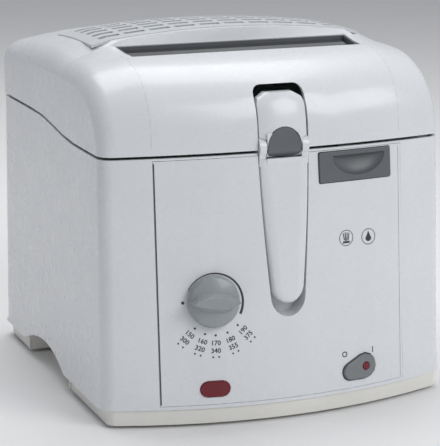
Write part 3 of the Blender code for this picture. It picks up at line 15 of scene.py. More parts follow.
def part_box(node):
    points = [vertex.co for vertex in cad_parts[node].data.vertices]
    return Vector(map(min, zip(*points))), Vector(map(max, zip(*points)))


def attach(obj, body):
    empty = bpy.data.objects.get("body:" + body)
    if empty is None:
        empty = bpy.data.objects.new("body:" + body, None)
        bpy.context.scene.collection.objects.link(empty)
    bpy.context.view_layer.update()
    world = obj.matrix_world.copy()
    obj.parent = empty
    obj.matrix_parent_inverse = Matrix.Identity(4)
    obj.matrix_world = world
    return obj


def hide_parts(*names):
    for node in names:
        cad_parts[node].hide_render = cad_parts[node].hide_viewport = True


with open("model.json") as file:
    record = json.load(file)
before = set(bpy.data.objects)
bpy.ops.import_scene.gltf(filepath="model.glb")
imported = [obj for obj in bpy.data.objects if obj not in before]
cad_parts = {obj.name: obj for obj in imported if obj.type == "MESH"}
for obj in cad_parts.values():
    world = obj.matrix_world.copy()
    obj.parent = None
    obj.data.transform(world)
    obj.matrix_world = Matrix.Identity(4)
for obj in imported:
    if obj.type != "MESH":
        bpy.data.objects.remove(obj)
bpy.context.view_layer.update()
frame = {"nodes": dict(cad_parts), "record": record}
NODES = frame["nodes"]

# %% [markdown]
# The camera stands a little to the left of the front and just above the lid, far back with a long
# lens, which keeps the upright edges almost parallel.

# %% Camera
MM = 0.001
CAMERA_PLACE = Vector((-548.6, -1399.6, 470.6)) * MM
CAMERA_AIM = Vector((6.0, 8.0, 115.0)) * MM
CAMERA_LENS = 153.4  # mm
SENSOR_WIDTH = 36.0  # mm


def add_camera():
    data = bpy.data.cameras.new("studio_camera")
    data.lens = CAMERA_LENS
    data.sensor_width = SENSOR_WIDTH
    made = bpy.data.objects.new("studio_camera", data)
    made.location = CAMERA_PLACE
    made.rotation_euler = (CAMERA_AIM - CAMERA_PLACE).to_track_quat("-Z", "Y").to_euler()
    bpy.context.scene.collection.objects.link(made)
    bpy.context.scene.camera = made


add_camera()
print("camera distance in mm:", round((CAMERA_AIM - CAMERA_PLACE).length / MM))

# %% [markdown]
# Moulded plastic is never one flat colour. Its tone drifts a little over a hand's width, a fine
# spark-eroded grain breaks the highlight, and its gloss is a bit uneven. One helper builds that
# graph from noise on Object coordinates, so it stays with the piece when the piece moves. On most
# finishes a small Bevel node rounds the look of edges that are too small to model.

# %% The noise helpers
NOISE_LOW = 0.3  # most noise values lie from here
NOISE_HIGH = 0.7  # to here
TONE_SCALE = 22.0
TONE_DETAIL = 4.0
GLOSS_SCALE = 60.0
GLOSS_DETAIL = 3.0
GLOSS_DRIFT = 0.12
GRAIN_DETAIL = 2.0
GRAIN_HEIGHT = 0.4 * MM
EDGE_SAMPLES = 4
REFRACTION = 1.5


def add_node(tree, kind, **values):
    """A shader node with its named inputs set."""
    made = tree.nodes.new(kind)
    for name, value in values.items():
        made.inputs[name.replace("_", " ")].default_value = value
    return made


def noise(tree, scale, detail, stretch=None):
    """Noise on Object coordinates. stretch squeezes it along an axis, as brushing does."""
    place = tree.nodes.new("ShaderNodeTexCoord").outputs["Object"]
    if stretch:
        mapping = tree.nodes.new("ShaderNodeMapping")
        mapping.inputs["Scale"].default_value = stretch
        tree.links.new(place, mapping.inputs["Vector"])
        place = mapping.outputs["Vector"]
    made = add_node(tree, "ShaderNodeTexNoise", Scale=scale, Detail=detail)
    tree.links.new(place, made.inputs["Vector"])
    return made.outputs["Fac"]


def spread(tree, source, low, high):
    """The usual range of noise values, spread from low to high."""
    made = tree.nodes.new("ShaderNodeMapRange")
    made.inputs["From Min"].default_value = NOISE_LOW
    made.inputs["From Max"].default_value = NOISE_HIGH
    made.inputs["To Min"].default_value = low
    made.inputs["To Max"].default_value = high
    tree.links.new(source, made.inputs["Value"])
    return made.outputs["Result"]


def finish(name, colour, roughness, metallic=0.0, drift=0.04, grain=2200.0, depth=0.02, edge=0.5,
           stretch=None, coat=0.0, transmission=0.0):
    """A Principled finish with drifting tone, uneven gloss and fine grain."""
    made = bpy.data.materials.new(name)
    made.use_nodes = True
    tree = made.node_tree
    shader = tree.nodes["Principled BSDF"]
    shader.inputs["Metallic"].default_value = metallic
    shader.inputs["Coat Weight"].default_value = coat
    shader.inputs["Transmission Weight"].default_value = transmission
    shader.inputs["IOR"].default_value = REFRACTION
    mix = tree.nodes.new("ShaderNodeMix")
    mix.data_type = "RGBA"
    mix.inputs["A"].default_value = (*[channel * (1 - drift) for channel in colour], 1)
    mix.inputs["B"].default_value = (*[min(channel * (1 + drift), 1) for channel in colour], 1)
    tone = spread(tree, noise(tree, TONE_SCALE, TONE_DETAIL, stretch), 0.0, 1.0)
    tree.links.new(tone, mix.inputs["Factor"])
    tree.links.new(mix.outputs["Result"], shader.inputs["Base Color"])
    gloss = noise(tree, GLOSS_SCALE, GLOSS_DETAIL, stretch)
    rough = spread(tree, gloss, roughness * (1 - GLOSS_DRIFT), roughness * (1 + GLOSS_DRIFT))
    tree.links.new(rough, shader.inputs["Roughness"])
    bump = add_node(tree, "ShaderNodeBump", Strength=depth, Distance=GRAIN_HEIGHT)
    tree.links.new(noise(tree, grain, GRAIN_DETAIL, stretch), bump.inputs["Height"])
    if edge:
        rounded = tree.nodes.new("ShaderNodeBevel")
        rounded.samples = EDGE_SAMPLES
        rounded.inputs["Radius"].default_value = edge * MM
        tree.links.new(rounded.outputs["Normal"], bump.inputs["Normal"])
    tree.links.new(bump.outputs["Normal"], shader.inputs["Normal"])
    return made


print("helpers for finishes: 4")

# %% [markdown]
# The shell is moulded in white ABS, the base in a slightly warmer white, and the controls in
# mid and dark greys. Brushed metals get their noise squeezed along one axis so that it reads as
# fine lines.

# %% The finishes
FINISHES = {
    "white_plastic": finish("white_abs", (0.72, 0.74, 0.76),
                            0.28, drift=0.015, grain=2600.0, depth=0.003, edge=0, coat=0.12),
    "ivory_plastic": finish("warm_white_abs", (0.76, 0.75, 0.71), 0.42, drift=0.03, depth=0.05),
    "grey_plastic": finish("mid_grey_abs", (0.115, 0.125, 0.135), 0.38, depth=0.05),
    "bright_steel": finish("brushed_steel", (0.62, 0.62, 0.61),
                           0.27, 1.0, 0.05, 900.0, 0.05, 0.2, (1, 1, 18)),
    "black_plastic": finish("black_nylon", (0.018, 0.018, 0.019), 0.5, depth=0.08),
    "grey_rubber": finish("foot_rubber", (0.05, 0.05, 0.055), 0.8, drift=0.1, grain=1500.0, depth=0.15),
    "knob_plastic": finish("blue_grey_abs", (0.30, 0.325, 0.34), 0.3, depth=0.04, coat=0.15),
    "brass": finish("terminal_brass", (0.60, 0.45, 0.18), 0.35, 1.0, 0.06, 900.0, 0.05, 0.2),
    "red_lens": finish("ruby_acrylic", (0.16, 0.002, 0.010), 0.25, drift=0.12, depth=0.01, coat=0.05),
    "lamp_glass": finish("lamp_glass", (0.75, 0.55, 0.45),
                         0.08, drift=0.03, depth=0.005, edge=0, transmission=0.7),
    "switch_grey": finish("light_grey_abs", (0.19, 0.20, 0.21), 0.33, depth=0.03, coat=0.1),
    "dark_nonstick": finish("nonstick_coating", (0.045, 0.045, 0.05),
                            0.36, drift=0.12, grain=1600.0, depth=0.08),
    "bare_aluminium": finish("mill_aluminium", (0.55, 0.56, 0.57),
                             0.4, 1.0, 0.06, 700.0, 0.06, 0.2, (1, 12, 1)),
    "copper": finish("bulb_copper", (0.60, 0.30, 0.20), 0.34, 1.0, 0.08, 900.0, 0.05, 0.2),
    "smoked_glass": finish("smoked_pane", (0.012, 0.013, 0.015),
                           0.07, drift=0.05, depth=0.004, edge=0, coat=0.3),
    "liner_aluminium": finish("satin_aluminium", (0.60, 0.61, 0.62),
                              0.34, 1.0, 0.05, 800.0, 0.05, 0.2, (12, 1, 1)),
    "seal_rubber": finish("seal_silicone", (0.11, 0.11, 0.115), 0.65, drift=0.08, depth=0.08),
    "cover_plastic": finish("filter_cover_abs", (0.60, 0.625, 0.645), 0.34, drift=0.02, depth=0.04),
    "filter_felt": finish("carbon_felt", (0.045, 0.045, 0.045),
                          0.95, drift=0.3, grain=1200.0, depth=0.6, edge=0),
}
PRINT = finish("screen_print_ink", (0.035, 0.04, 0.05), 0.5, drift=0.08, depth=0.03, edge=0)
# A dark strip of painted shade for the panel's left joint.
SHADOW_LINE = finish("painted_seam_shade", (0.05, 0.052, 0.055), 0.6, drift=0.1, depth=0.03, edge=0)
# A grey strip of painted shade along the lid's crease lines.
PAINTED_CREASE_SHADE = finish("crease_shade_line", (0.56, 0.58, 0.60), 0.4, drift=0.03, depth=0.02, edge=0)
# A fainter grey strip of painted shade for the panel's right joint.
FAINT_SHADE_LINE = finish("painted_faint_seam_shade", (0.30, 0.31, 0.32), 0.6, drift=0.1, depth=0.03, edge=0)
LINE_FINISHES = (PRINT, SHADOW_LINE, PAINTED_CREASE_SHADE, FAINT_SHADE_LINE)
print("finishes:", len(FINISHES) + len(LINE_FINISHES))

# %% [markdown]
# The frame's pieces are closed shells of loose triangles. A merged copy of each, shaded smooth up
# to a crease angle, gives the moulded look on the same shape. Weighted normals let the large faces
# rule the shading, as a fillet's tangent edge does on a real moulding.

# %% Smooth skins over the frame
CREASE = {"lid_shell": 50, "thermostat_knob": 28, "folding_handle": 40, "basket_bracket": 30}  # degrees
PLAIN_CREASE = 34
WIRE_CREASE = 60
PRINT_CREASE = 30
LINE_CREASE = 60
LIP_CREASE = 40
MERGE_WITHIN = 0.01 * MM
WELD_WITHIN = 0.001 * MM
SLOT_OF = {entry["node"]: entry["material_slot"] for entry in frame["record"]["subparts"]}
BODIES = frame["record"]["behaviour"]["bodies"]
BODY_OF = {node: body for body, nodes in BODIES.items() for node in nodes}


def settle(name, shape, look, body, crease=PLAIN_CREASE):
    """Turns a finished bmesh into a piece that rides on a body."""
    mesh = bpy.data.meshes.new(name)
    shape.to_mesh(mesh)
    shape.free()
    for old in ("custom_normal", "sharp_edge", "sharp_face"):
        if old in mesh.attributes:
            mesh.attributes.remove(mesh.attributes[old])
    mesh.materials.clear()
    mesh.materials.append(look)
    mesh.shade_smooth()
    mesh.set_sharp_from_angle(angle=math.radians(crease))
    made = bpy.data.objects.new(name, mesh)
    bpy.context.scene.collection.objects.link(made)
    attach(made, body)
    return made


def merged(node):
    """A bmesh of a frame piece with its triangles joined up."""
    shape = bmesh.new()
    shape.from_mesh(NODES[node].data)
    bmesh.ops.remove_doubles(shape, verts=shape.verts, dist=MERGE_WITHIN)
    bmesh.ops.dissolve_degenerate(shape, edges=shape.edges, dist=MERGE_WITHIN)
    return shape


def skin(node):
    """The visible copy of a frame piece, which takes its place."""
    slot_name = SLOT_OF[node]
    crease = CREASE.get(node, PLAIN_CREASE)
    made = settle(node + "_skin", merged(node), FINISHES[slot_name], BODY_OF[node], crease)
    weighted = made.modifiers.new("weighted_normals", "WEIGHTED_NORMAL")
    weighted.keep_sharp = True
    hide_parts(node)
    return made


OWN_SHAPE = {"basket"}
skins = {node: skin(node) for node in NODES if node not in OWN_SHAPE}
print("skins:", len(skins))

# %% [markdown]
# The basket is woven from thin steel wire round a thick rim wire. Each rib is one wire that runs
# down a wall, across the floor and up the opposite wall, and hoops tie the walls together. A curve
# with a round bevel is the natural tool for wire: one spline for each wire. It is turned into a
# mesh at the end so that it exports as plain triangles.

# %% The wire basket
BASKET_LOW, BASKET_HIGH = (Vector(corner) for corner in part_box("basket"))
BASKET_ROUND = 29.5 * MM
FLOOR_ROUND = 7 * MM
WIRE = 0.55 * MM
RIM_WIRE = 1.7 * MM
WIRE_PITCH = 5.4 * MM
WALL_SET_BACK = 0.8 * MM
FIRST_RIB_INSET = 6 * MM
BEND_STEPS = 4


def hoop(inset, z, steps=6):
    """Points of a level round-cornered hoop of the basket."""
    radius = BASKET_ROUND - inset
    low = BASKET_LOW + Vector((BASKET_ROUND, BASKET_ROUND, 0))
    high = BASKET_HIGH - Vector((BASKET_ROUND, BASKET_ROUND, 0))
    points = []
    centres = ((high.x, high.y), (low.x, high.y), (low.x, low.y), (high.x, low.y))
    for quarter, (x, y) in enumerate(centres):
        for step in range(steps + 1):
            angle = math.pi / 2 * (quarter + step / steps)
            points.append(Vector((x + radius * math.cos(angle), y + radius * math.sin(angle), z)))
    return points


def reach(offset, half_along, half_across):
    """How far a rib at this offset from the middle runs each way before it meets the wall."""
    beyond = max(abs(offset) - (half_along - BASKET_ROUND), 0)
    return half_across - BASKET_ROUND + math.sqrt(max(BASKET_ROUND ** 2 - beyond ** 2, 0))


def bend(foot, across, bottom):
    """A quarter turn of wire at the foot of a wall, from upright to level."""
    points = []
    for step in range(BEND_STEPS + 1):
        angle = math.pi / 2 * step / BEND_STEPS
        rise = Vector((0, 0, bottom + FLOOR_ROUND * (1 - math.sin(angle))))
        points.append(foot + across * FLOOR_ROUND * (1 - math.cos(angle)) + rise)
    return points


def rib(start, end, top, bottom):
    """A U of wire: down at start, across, and up at end."""
    across = (end - start).normalized()
    up = Vector((0, 0, top))
    down_and_out = bend(start, across, bottom)
    in_and_up = bend(end, -across, bottom)[::-1]
    return [start + up] + down_and_out + in_and_up + [end + up]


def wires(name, paths, radius, closed, look, body, sides=1):
    """Several round wires as one mesh piece."""
    data = bpy.data.curves.new(name, "CURVE")
    data.dimensions = "3D"
    data.bevel_depth = radius
    data.bevel_resolution = sides
    data.use_fill_caps = True
    for path in paths:
        line = data.splines.new("POLY")
        line.points.add(len(path) - 1)
        for item, point in zip(line.points, path):
            item.co = (*point, 1)
        line.use_cyclic_u = closed
    drawn = bpy.data.objects.new(name, data)
    bpy.context.scene.collection.objects.link(drawn)
    shape = bmesh.new()
    graph = bpy.context.evaluated_depsgraph_get()
    made = bpy.data.meshes.new_from_object(drawn.evaluated_get(graph))
    shape.from_mesh(made)
    bpy.data.objects.remove(drawn)
    bpy.data.meshes.remove(made)
    bmesh.ops.remove_doubles(shape, verts=shape.verts, dist=WELD_WITHIN)
    bmesh.ops.recalc_face_normals(shape, faces=shape.faces)
    return settle(name, shape, look, body, WIRE_CREASE)


def basket_ribs():
    """The paths of all the ribs, first those along X and then those along Y."""
    middle = (BASKET_LOW + BASKET_HIGH) / 2
    half = (BASKET_HIGH - BASKET_LOW) / 2 - Vector((WALL_SET_BACK, WALL_SET_BACK, 0))
    top = BASKET_HIGH.z - RIM_WIRE
    bottom = BASKET_LOW.z + WIRE
    paths = []
    count = int((half.y - FIRST_RIB_INSET) / WIRE_PITCH)
    for index in range(-count, count + 1):
        y = index * WIRE_PITCH
        x = reach(y, half.y, half.x)
        start = Vector((middle.x - x, middle.y + y, 0))
        end = Vector((middle.x + x, middle.y + y, 0))
        paths.append(rib(start, end, top, bottom))
    count = int((half.x - FIRST_RIB_INSET) / WIRE_PITCH)
    for index in range(-count, count + 1):
        x = index * WIRE_PITCH
        y = reach(x, half.x, half.y)
        start = Vector((middle.x + x, middle.y - y, 0))
        end = Vector((middle.x + x, middle.y + y, 0))
        paths.append(rib(start, end, top, bottom + WIRE))
    return paths


steel = FINISHES["bright_steel"]
rib_paths = basket_ribs()
levels = int((BASKET_HIGH.z - BASKET_LOW.z - 2 * FLOOR_ROUND) / WIRE_PITCH)
hoop_paths = []
for step in range(levels):
    level = BASKET_LOW.z + FLOOR_ROUND + WIRE_PITCH * (step + 1)
    hoop_paths.append(hoop(WALL_SET_BACK + 2 * WIRE, level))
rim_path = hoop(RIM_WIRE, BASKET_HIGH.z - RIM_WIRE, 10)
ribs = wires("basket_ribs", rib_paths, WIRE, False, steel, "basket_body")
hoops = wires("basket_hoops", hoop_paths, WIRE, True, steel, "basket_body")
rim = wires("basket_rim_wire", [rim_path], RIM_WIRE, True, steel, "basket_body", 3)
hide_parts("basket")
print("basket wires:", len(rib_paths), "ribs and", levels, "hoops")

# %% [markdown]
# The dial scale, the switch marks and the pictograms are screen-printed on the bowed panel. Each
# mark is drawn flat, dropped onto the panel along the depth axis by casting a ray from every
# vertex, and then raised by the thickness of a coat of ink.

# %% The printing helper
PANEL = BVHTree.FromPolygons([v.co.copy() for v in NODES["front_panel"].data.vertices],
                             [tuple(p.vertices) for p in NODES["front_panel"].data.polygons])
INK = 0.16 * MM
INK_SUNK = 0.06 * MM
RAY_START_Y = -400 * MM  # well in front of the fryer
BACKWARDS = Vector((0, 1, 0))


def print_on(name, flat, look=PRINT):
    """Lays a flat shape, drawn in X and Z, on the panel and raises it a little."""
    for vertex in flat.verts:
        hit = PANEL.ray_cast(Vector((vertex.co.x, RAY_START_Y, vertex.co.z)), BACKWARDS)[0]
        vertex.co.y = hit.y + INK_SUNK
    raised = bmesh.ops.extrude_face_region(flat, geom=flat.faces[:])
    moved = [item for item in raised["geom"] if isinstance(item, bmesh.types.BMVert)]
    bmesh.ops.translate(flat, verts=moved, vec=(0, -INK, 0))
    bmesh.ops.recalc_face_normals(flat, faces=flat.faces)
    settle(name, flat, look, "housing", PRINT_CREASE)


def disc(flat, x, z, radius, steps=20):
    """A flat round."""
    bmesh.ops.create_circle(flat, cap_ends=True, segments=steps, radius=radius,
                            matrix=Matrix.Translation((x, 0, z)) @ Matrix.Rotation(math.pi / 2, 4, "X"))


def bar(flat, x, z, width, height, turn=0.0):
    """A flat rectangle."""
    bmesh.ops.create_grid(flat, x_segments=1, y_segments=1, size=0.5,
                          matrix=Matrix.Translation((x, 0, z)) @ Matrix.Rotation(turn, 4, "Y")
                          @ Matrix.Rotation(math.pi / 2, 4, "X") @ Matrix.Diagonal((width, height, 1, 1)))


def ribbon(flat, x, z, inner, outer, start, end, steps):
    """Part of a ring: a short edge swept round (x, z). Angles are in degrees from +X towards +Z."""
    turn = Matrix.Rotation(math.radians(-start), 4, "Y")
    centre = Vector((x, 0, z))
    ends = [flat.verts.new(centre + turn @ Vector((radius, 0, 0))) for radius in (inner, outer)]
    edge = flat.edges.new(ends)
    bmesh.ops.spin(flat, geom=ends + [edge], cent=centre, axis=(0, -1, 0),
                   angle=math.radians(end - start), steps=steps)


LETTER_WEIGHT = 0.018  # how far the outline grows, as a share of the height


def words(text, x, z, height, turn=0.0):
    """A flat bmesh of text, centred on (x, z) and turned anticlockwise by some degrees."""
    data = bpy.data.curves.new("marks", "FONT")
    data.body = text
    data.size = height
    data.offset = height * LETTER_WEIGHT
    data.align_x = "CENTER"
    data.align_y = "CENTER"
    data.resolution_u = 3
    drawn = bpy.data.objects.new("marks", data)
    bpy.context.scene.collection.objects.link(drawn)
    graph = bpy.context.evaluated_depsgraph_get()
    made = bpy.data.meshes.new_from_object(drawn.evaluated_get(graph))
    flat = bmesh.new()
    flat.from_mesh(made)
    bpy.data.objects.remove(drawn)
    bpy.data.meshes.remove(made)
    bmesh.ops.transform(flat, verts=flat.verts,
                        matrix=Matrix.Translation((x, 0, z)) @ Matrix.Rotation(math.radians(-turn), 4, "Y")
                        @ Matrix.Rotation(math.pi / 2, 4, "X"))
    return flat


print("ready to print on", len(NODES["front_panel"].data.polygons), "faces of the front panel")

# %% [markdown]
# Round the dial runs an arc that starts thin at the left, goes over the top and is thickest where
# it ends at the lower right. Below the dial, five settings fan out. Each has a dot, its temperature
# in two units, and two small dots under them. The numbers are plain and generic.

# %% The dial scale
DIAL = Vector((-57.7, 0, 93.3)) * MM
FAN_CENTRE = Vector((-57.2, 0, 92.2)) * MM
ARC_INNER = 20.8 * MM
ARC_OUTER = 22.3 * MM
ARC_START = 153  # degrees from +X towards +Z
ARC_END = -27
ARC_STEPS = 46
ARC_THIN = 0.35  # share of the full width where the arc starts
ARC_GROWTH = 0.95  # what is added to that share by its end
OFF_DOT = Vector((-81.2, 0, 94.2)) * MM
OFF_DOT_RADIUS = 1.2 * MM
LABEL_SIZE = 5.0 * MM
# Each setting has its temperature in Celsius and in Fahrenheit, and its angle in degrees.
SETTINGS = (("150", "300", -132), ("160", "320", -111), ("170", "340", -91),
            ("180", "355", -69), ("190", "375", -46))
DOT_REACH = 23.6 * MM
DOT_RADIUS = 0.85 * MM
LABEL_REACH = (29.4 * MM, 35.2 * MM)
UNDER_REACH = 39.8 * MM
UNDER_APART = 2.2 * MM
UNDER_RADIUS = 0.7 * MM
DOT_SIDES = 12


def dial_arc():
    """A flat ribbon round the dial that grows thicker along its way."""
    flat = bmesh.new()
    ribbon(flat, DIAL.x, DIAL.z, ARC_INNER, ARC_OUTER, ARC_START, ARC_END, ARC_STEPS)
    bmesh.ops.remove_doubles(flat, verts=flat.verts, dist=WELD_WITHIN)
    for vertex in flat.verts:
        reach_out = vertex.co - DIAL
        angle = math.degrees(math.atan2(reach_out.z, reach_out.x))
        share = min(max((ARC_START - angle) / (ARC_START - ARC_END), 0), 1)
        middle = (ARC_INNER + ARC_OUTER) / 2
        width = ARC_THIN + ARC_GROWTH * share
        vertex.co = DIAL + reach_out.normalized() * (middle + (reach_out.length - middle) * width)
    return flat


print_on("dial_arc", dial_arc())
off_dot = bmesh.new()
disc(off_dot, OFF_DOT.x, OFF_DOT.z, OFF_DOT_RADIUS)
print_on("dial_off_dot", off_dot)
for number, (celsius, fahrenheit, angle) in enumerate(SETTINGS, 1):
    way = Vector((math.cos(math.radians(angle)), 0, math.sin(math.radians(angle))))
    along = Vector((-way.z, 0, way.x))
    under = FAN_CENTRE + way * UNDER_REACH
    dots = bmesh.new()
    for spot, radius in ((FAN_CENTRE + way * DOT_REACH, DOT_RADIUS),
                         (under - along * UNDER_APART, UNDER_RADIUS),
                         (under + along * UNDER_APART, UNDER_RADIUS)):
        disc(dots, spot.x, spot.z, radius, DOT_SIDES)
    print_on(f"dial_dots_{number}", dots)
    for row, (text, out) in enumerate(zip((celsius, fahrenheit), LABEL_REACH), 1):
        spot = FAN_CENTRE + way * out
        label = words(text, spot.x, spot.z, LABEL_SIZE, angle + 90)
        print_on(f"dial_number_{number}_{row}", label)
print("settings:", len(SETTINGS))

# %% [markdown]
# The switch carries the two usual marks, and two small round pictograms stand beside the handle:
# a portion of chips in a ring, and a drop of oil in a ring.

# %% Switch marks and pictograms
SWITCH_MARKS = (("off", "O", 45.9 * MM, 43.2 * MM), ("on", "I", 71.2 * MM, 43.5 * MM))
SWITCH_MARK_SIZE = 6.0 * MM
RING_INNER = 5.6 * MM
RING_OUTER = 6.1 * MM
RING_STEPS = 40
CHIPS = ((-2.1, -0.16, 5.4), (-0.7, -0.05, 6.6), (0.7, 0.05, 6.0), (2.1, 0.16, 5.2))  # x, lean, height
CHIP_WIDTH = 0.8 * MM
CHIP_RAISE = 1.0 * MM
DISH_DROP = 3.2 * MM
DISH_WIDTH = 6.0 * MM
DISH_HEIGHT = 1.6 * MM
DROP_RADIUS = 2.6 * MM
DROP_LOW = 1 * MM
DROP_NARROWS = 0.55


def ring_mark(x, z):
    """The thin ring round a pictogram."""
    flat = bmesh.new()
    ribbon(flat, x, z, RING_INNER, RING_OUTER, 0, 360, RING_STEPS)
    bmesh.ops.remove_doubles(flat, verts=flat.verts, dist=WELD_WITHIN)
    return flat


def chips_mark(x, z):
    """Four leaning chips over a dish."""
    flat = bmesh.new()
    for offset, lean, height in CHIPS:
        bar(flat, x + offset * MM, z + CHIP_RAISE, CHIP_WIDTH, height * MM, lean)
    bar(flat, x, z - DISH_DROP, DISH_WIDTH, DISH_HEIGHT)
    return flat


def drop_mark(x, z):
    """A round whose upper half is drawn up to a point."""
    flat = bmesh.new()
    middle = z - DROP_LOW
    disc(flat, x, middle, DROP_RADIUS, 28)
    for vertex in flat.verts:
        above = max(vertex.co.z - middle, 0) / DROP_RADIUS
        vertex.co.x = x + (vertex.co.x - x) * (1 - DROP_NARROWS * above)
        vertex.co.z += DROP_RADIUS * above ** 3
    return flat


PICTOGRAMS = (("chips", 50 * MM, 132 * MM, chips_mark), ("oil", 69.5 * MM, 131 * MM, drop_mark))
for name, text, x, z in SWITCH_MARKS:
    print_on(f"switch_mark_{name}", words(text, x, z, SWITCH_MARK_SIZE))
for name, x, z, drawing in PICTOGRAMS:
    print_on(f"pictogram_{name}_ring", ring_mark(x, z))
    print_on(f"pictogram_{name}", drawing(x, z))
print("marks printed:", len(SWITCH_MARKS) + 2 * len(PICTOGRAMS))

# %% [markdown]
# The panel is a separate moulding with a fine joint at each edge. A dark strip in the left joint
# paints the shade that falls into it, and a fainter grey strip in the right joint paints a lighter shade.

# %% Painted shade in the panel joints
JOINT_LOW_Z = 18 * MM
JOINT_HIGH_Z = 197.5 * MM
PANEL_EDGE_X = 99.2 * MM
RIGHT_SET_IN = 1.6 * MM
LEFT_WIDTH = 0.9 * MM
RIGHT_WIDTH = 0.35 * MM
JOINT_STEPS = 40


def joint_line(x, width):
    """A narrow upright strip, cut into steps so that it can follow the panel."""
    flat = bmesh.new()
    bmesh.ops.create_grid(flat, x_segments=1, y_segments=JOINT_STEPS, size=0.5,
                          matrix=Matrix.Translation((x, 0, (JOINT_LOW_Z + JOINT_HIGH_Z) / 2))
                          @ Matrix.Rotation(math.pi / 2, 4, "X")
                          @ Matrix.Diagonal((width, JOINT_HIGH_Z - JOINT_LOW_Z, 1, 1)))
    return flat


# Both strips are painted shade in the panel's joints, dark at the left and fainter at the right.
print_on("panel_joint_painted_shade_left", joint_line(-PANEL_EDGE_X, LEFT_WIDTH), SHADOW_LINE)
print_on("panel_joint_painted_shade_right", joint_line(PANEL_EDGE_X - RIGHT_SET_IN, RIGHT_WIDTH), FAINT_SHADE_LINE)
print("joints drawn: 2")

# %% [markdown]
# Two faint crease lines run up the lid's front and over its shoulder, in line with the panel's
# edges, and a narrow grey strip paints the shade along each. Rays cast at the lid from a turning
# direction find the path, and the strip follows it.

# %% Painted shade along the lid's crease lines
LID = BVHTree.FromPolygons([v.co.copy() for v in NODES["lid_shell"].data.vertices],
                           [tuple(p.vertices) for p in NODES["lid_shell"].data.polygons])
FAN_AXIS = Vector((0, -48, 206)) * MM
LINE_HALF = 0.22 * MM
LINE_PROUD = 0.05 * MM
LINE_STEPS = 30
LINE_LOW = 2  # degrees up from level
LINE_SWEEP = 76  # degrees from its lower end to its upper end
RAY_REACH = 200 * MM
LINE_LEFT_X = -100.5 * MM
LINE_RIGHT_X = 98.5 * MM


def crease_shade_line(name, x):
    """A narrow strip of painted shade that follows the lid's front at one X."""
    strip = bmesh.new()
    bmesh.ops.create_grid(strip, x_segments=1, y_segments=LINE_STEPS, size=0.5)
    for vertex in strip.verts:
        angle = math.radians(LINE_LOW + LINE_SWEEP * (vertex.co.y + 0.5))
        way = Vector((0, -math.cos(angle), math.sin(angle)))
        place = FAN_AXIS + Vector((x + (LINE_HALF if vertex.co.x > 0 else -LINE_HALF), 0, 0))
        hit = LID.ray_cast(place + way * RAY_REACH, -way)[0]
        vertex.co = hit + way * LINE_PROUD
    raised = bmesh.ops.extrude_face_region(strip, geom=strip.faces[:])
    for item in raised["geom"]:
        if isinstance(item, bmesh.types.BMVert):
            inwards = (FAN_AXIS + Vector((item.co.x, 0, 0)) - item.co).normalized()
            item.co += inwards * 2 * LINE_PROUD
    bmesh.ops.recalc_face_normals(strip, faces=strip.faces)
    settle(name, strip, PAINTED_CREASE_SHADE, "lid", LINE_CREASE)


crease_shade_line("lid_crease_shade_left", LINE_LEFT_X)
crease_shade_line("lid_crease_shade_right", LINE_RIGHT_X)
print("mould lines: 2")

# %% [markdown]
# The handle ends in a lip that reaches up to the lock button and hides the joint behind it. It
# starts flush with the handle's face and swells out to the knuckle.

# %% The handle's lip
HANDLE = BVHTree.FromPolygons([v.co.copy() for v in NODES["folding_handle"].data.vertices],
                              [tuple(p.vertices) for p in NODES["folding_handle"].data.polygons])
LIP_HALF = 14.2 * MM
LIP_LOW_Z = 187.5 * MM
LIP_TOP_Z = 196.9 * MM
LIP_FACE_Y = -138.4 * MM
LIP_THICK = 1.4 * MM
LIP_PROUD = 0.05 * MM
FACE_TOP_Z = 195 * MM  # above this the handle's front face turns away
LIP_STEPS = (18, 10)


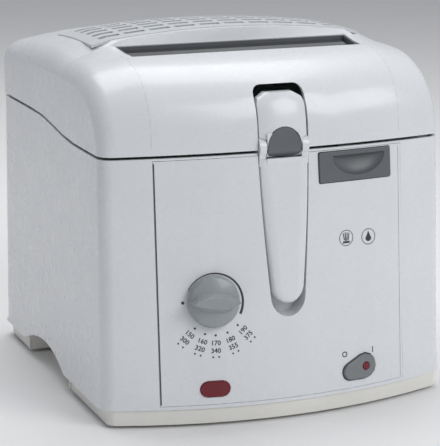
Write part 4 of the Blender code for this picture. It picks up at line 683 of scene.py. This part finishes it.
def handle_lip():
    """A curved tab that leans out from the handle's face as it rises."""
    lip = bmesh.new()
    bmesh.ops.create_grid(lip, x_segments=LIP_STEPS[0], y_segments=LIP_STEPS[1], size=0.5)
    for vertex in lip.verts:
        share = vertex.co.y + 0.5
        x = vertex.co.x * 2 * LIP_HALF
        z = LIP_LOW_Z + (LIP_TOP_Z - LIP_LOW_Z) * share
        hit = HANDLE.ray_cast(Vector((x, RAY_START_Y, min(z, FACE_TOP_Z))), BACKWARDS)[0]
        swell = share * share * (3 - 2 * share)
        y = hit.y * (1 - swell) + LIP_FACE_Y * swell + LIP_PROUD * (1 - share)
        vertex.co = Vector((x, y, z))
    raised = bmesh.ops.extrude_face_region(lip, geom=lip.faces[:])
    moved = [item for item in raised["geom"] if isinstance(item, bmesh.types.BMVert)]
    bmesh.ops.translate(lip, verts=moved, vec=(0, LIP_THICK, 0))
    bmesh.ops.recalc_face_normals(lip, faces=lip.faces)
    settle("handle_lip", lip, FINISHES["white_plastic"], "handle", LIP_CREASE)


handle_lip()
print("lip added")

# %% [markdown]
# A plain pale floor and three large soft lamps. The key light is high on the front right, a fill
# comes from the left, and a top light picks out the crowned lid. The world is an even pale grey
# that the glossy plastic mirrors.

# %% Studio
AIM = (0, 0, 0.12)
LAMPS = (  # name, place and size in metres, power in watts
    ("key_light", (0.9, -1.5, 1.25), (1.2, 1.0), 16.5),
    ("fill_light", (-1.7, -0.9, 0.9), (1.4, 1.4), 0.3),
    ("top_light", (0.0, 0.5, 1.7), (1.6, 1.2), 18),
)
FLOOR_SIZE = 6.0
FLOOR_GREY = (0.86, 0.86, 0.86)
WORLD_COLOUR = (0.93, 0.95, 1.0, 1)
WORLD_STRENGTH = 0.36


def add_lamp(name, place, size, power):
    """A soft rectangular lamp that points at the fryer."""
    data = bpy.data.lights.new(name, "AREA")
    data.shape = "RECTANGLE"
    data.size, data.size_y = size
    data.energy = power
    made = bpy.data.objects.new(name, data)
    made.location = place
    made.rotation_euler = (Vector(AIM) - Vector(place)).to_track_quat("-Z", "Y").to_euler()
    bpy.context.scene.collection.objects.link(made)


def add_floor():
    """The floor, named as part of the studio and not of the fryer."""
    card = finish("floor_card", FLOOR_GREY, 0.7, drift=0.005, grain=300.0, depth=0.01, edge=0)
    shape = bmesh.new()
    bmesh.ops.create_grid(shape, x_segments=1, y_segments=1, size=FLOOR_SIZE)
    mesh = bpy.data.meshes.new("studio_floor")
    shape.to_mesh(mesh)
    shape.free()
    mesh.materials.append(card)
    made = bpy.data.objects.new("studio_floor", mesh)
    bpy.context.scene.collection.objects.link(made)


add_floor()
for lamp in LAMPS:
    add_lamp(*lamp)
world = bpy.data.worlds.new("studio_world")
world.use_nodes = True
background = world.node_tree.nodes["Background"]
background.inputs["Color"].default_value = WORLD_COLOUR
background.inputs["Strength"].default_value = WORLD_STRENGTH
bpy.context.scene.world = world
bpy.context.scene.view_settings.view_transform = "Standard"
print("lamps:", len(LAMPS))
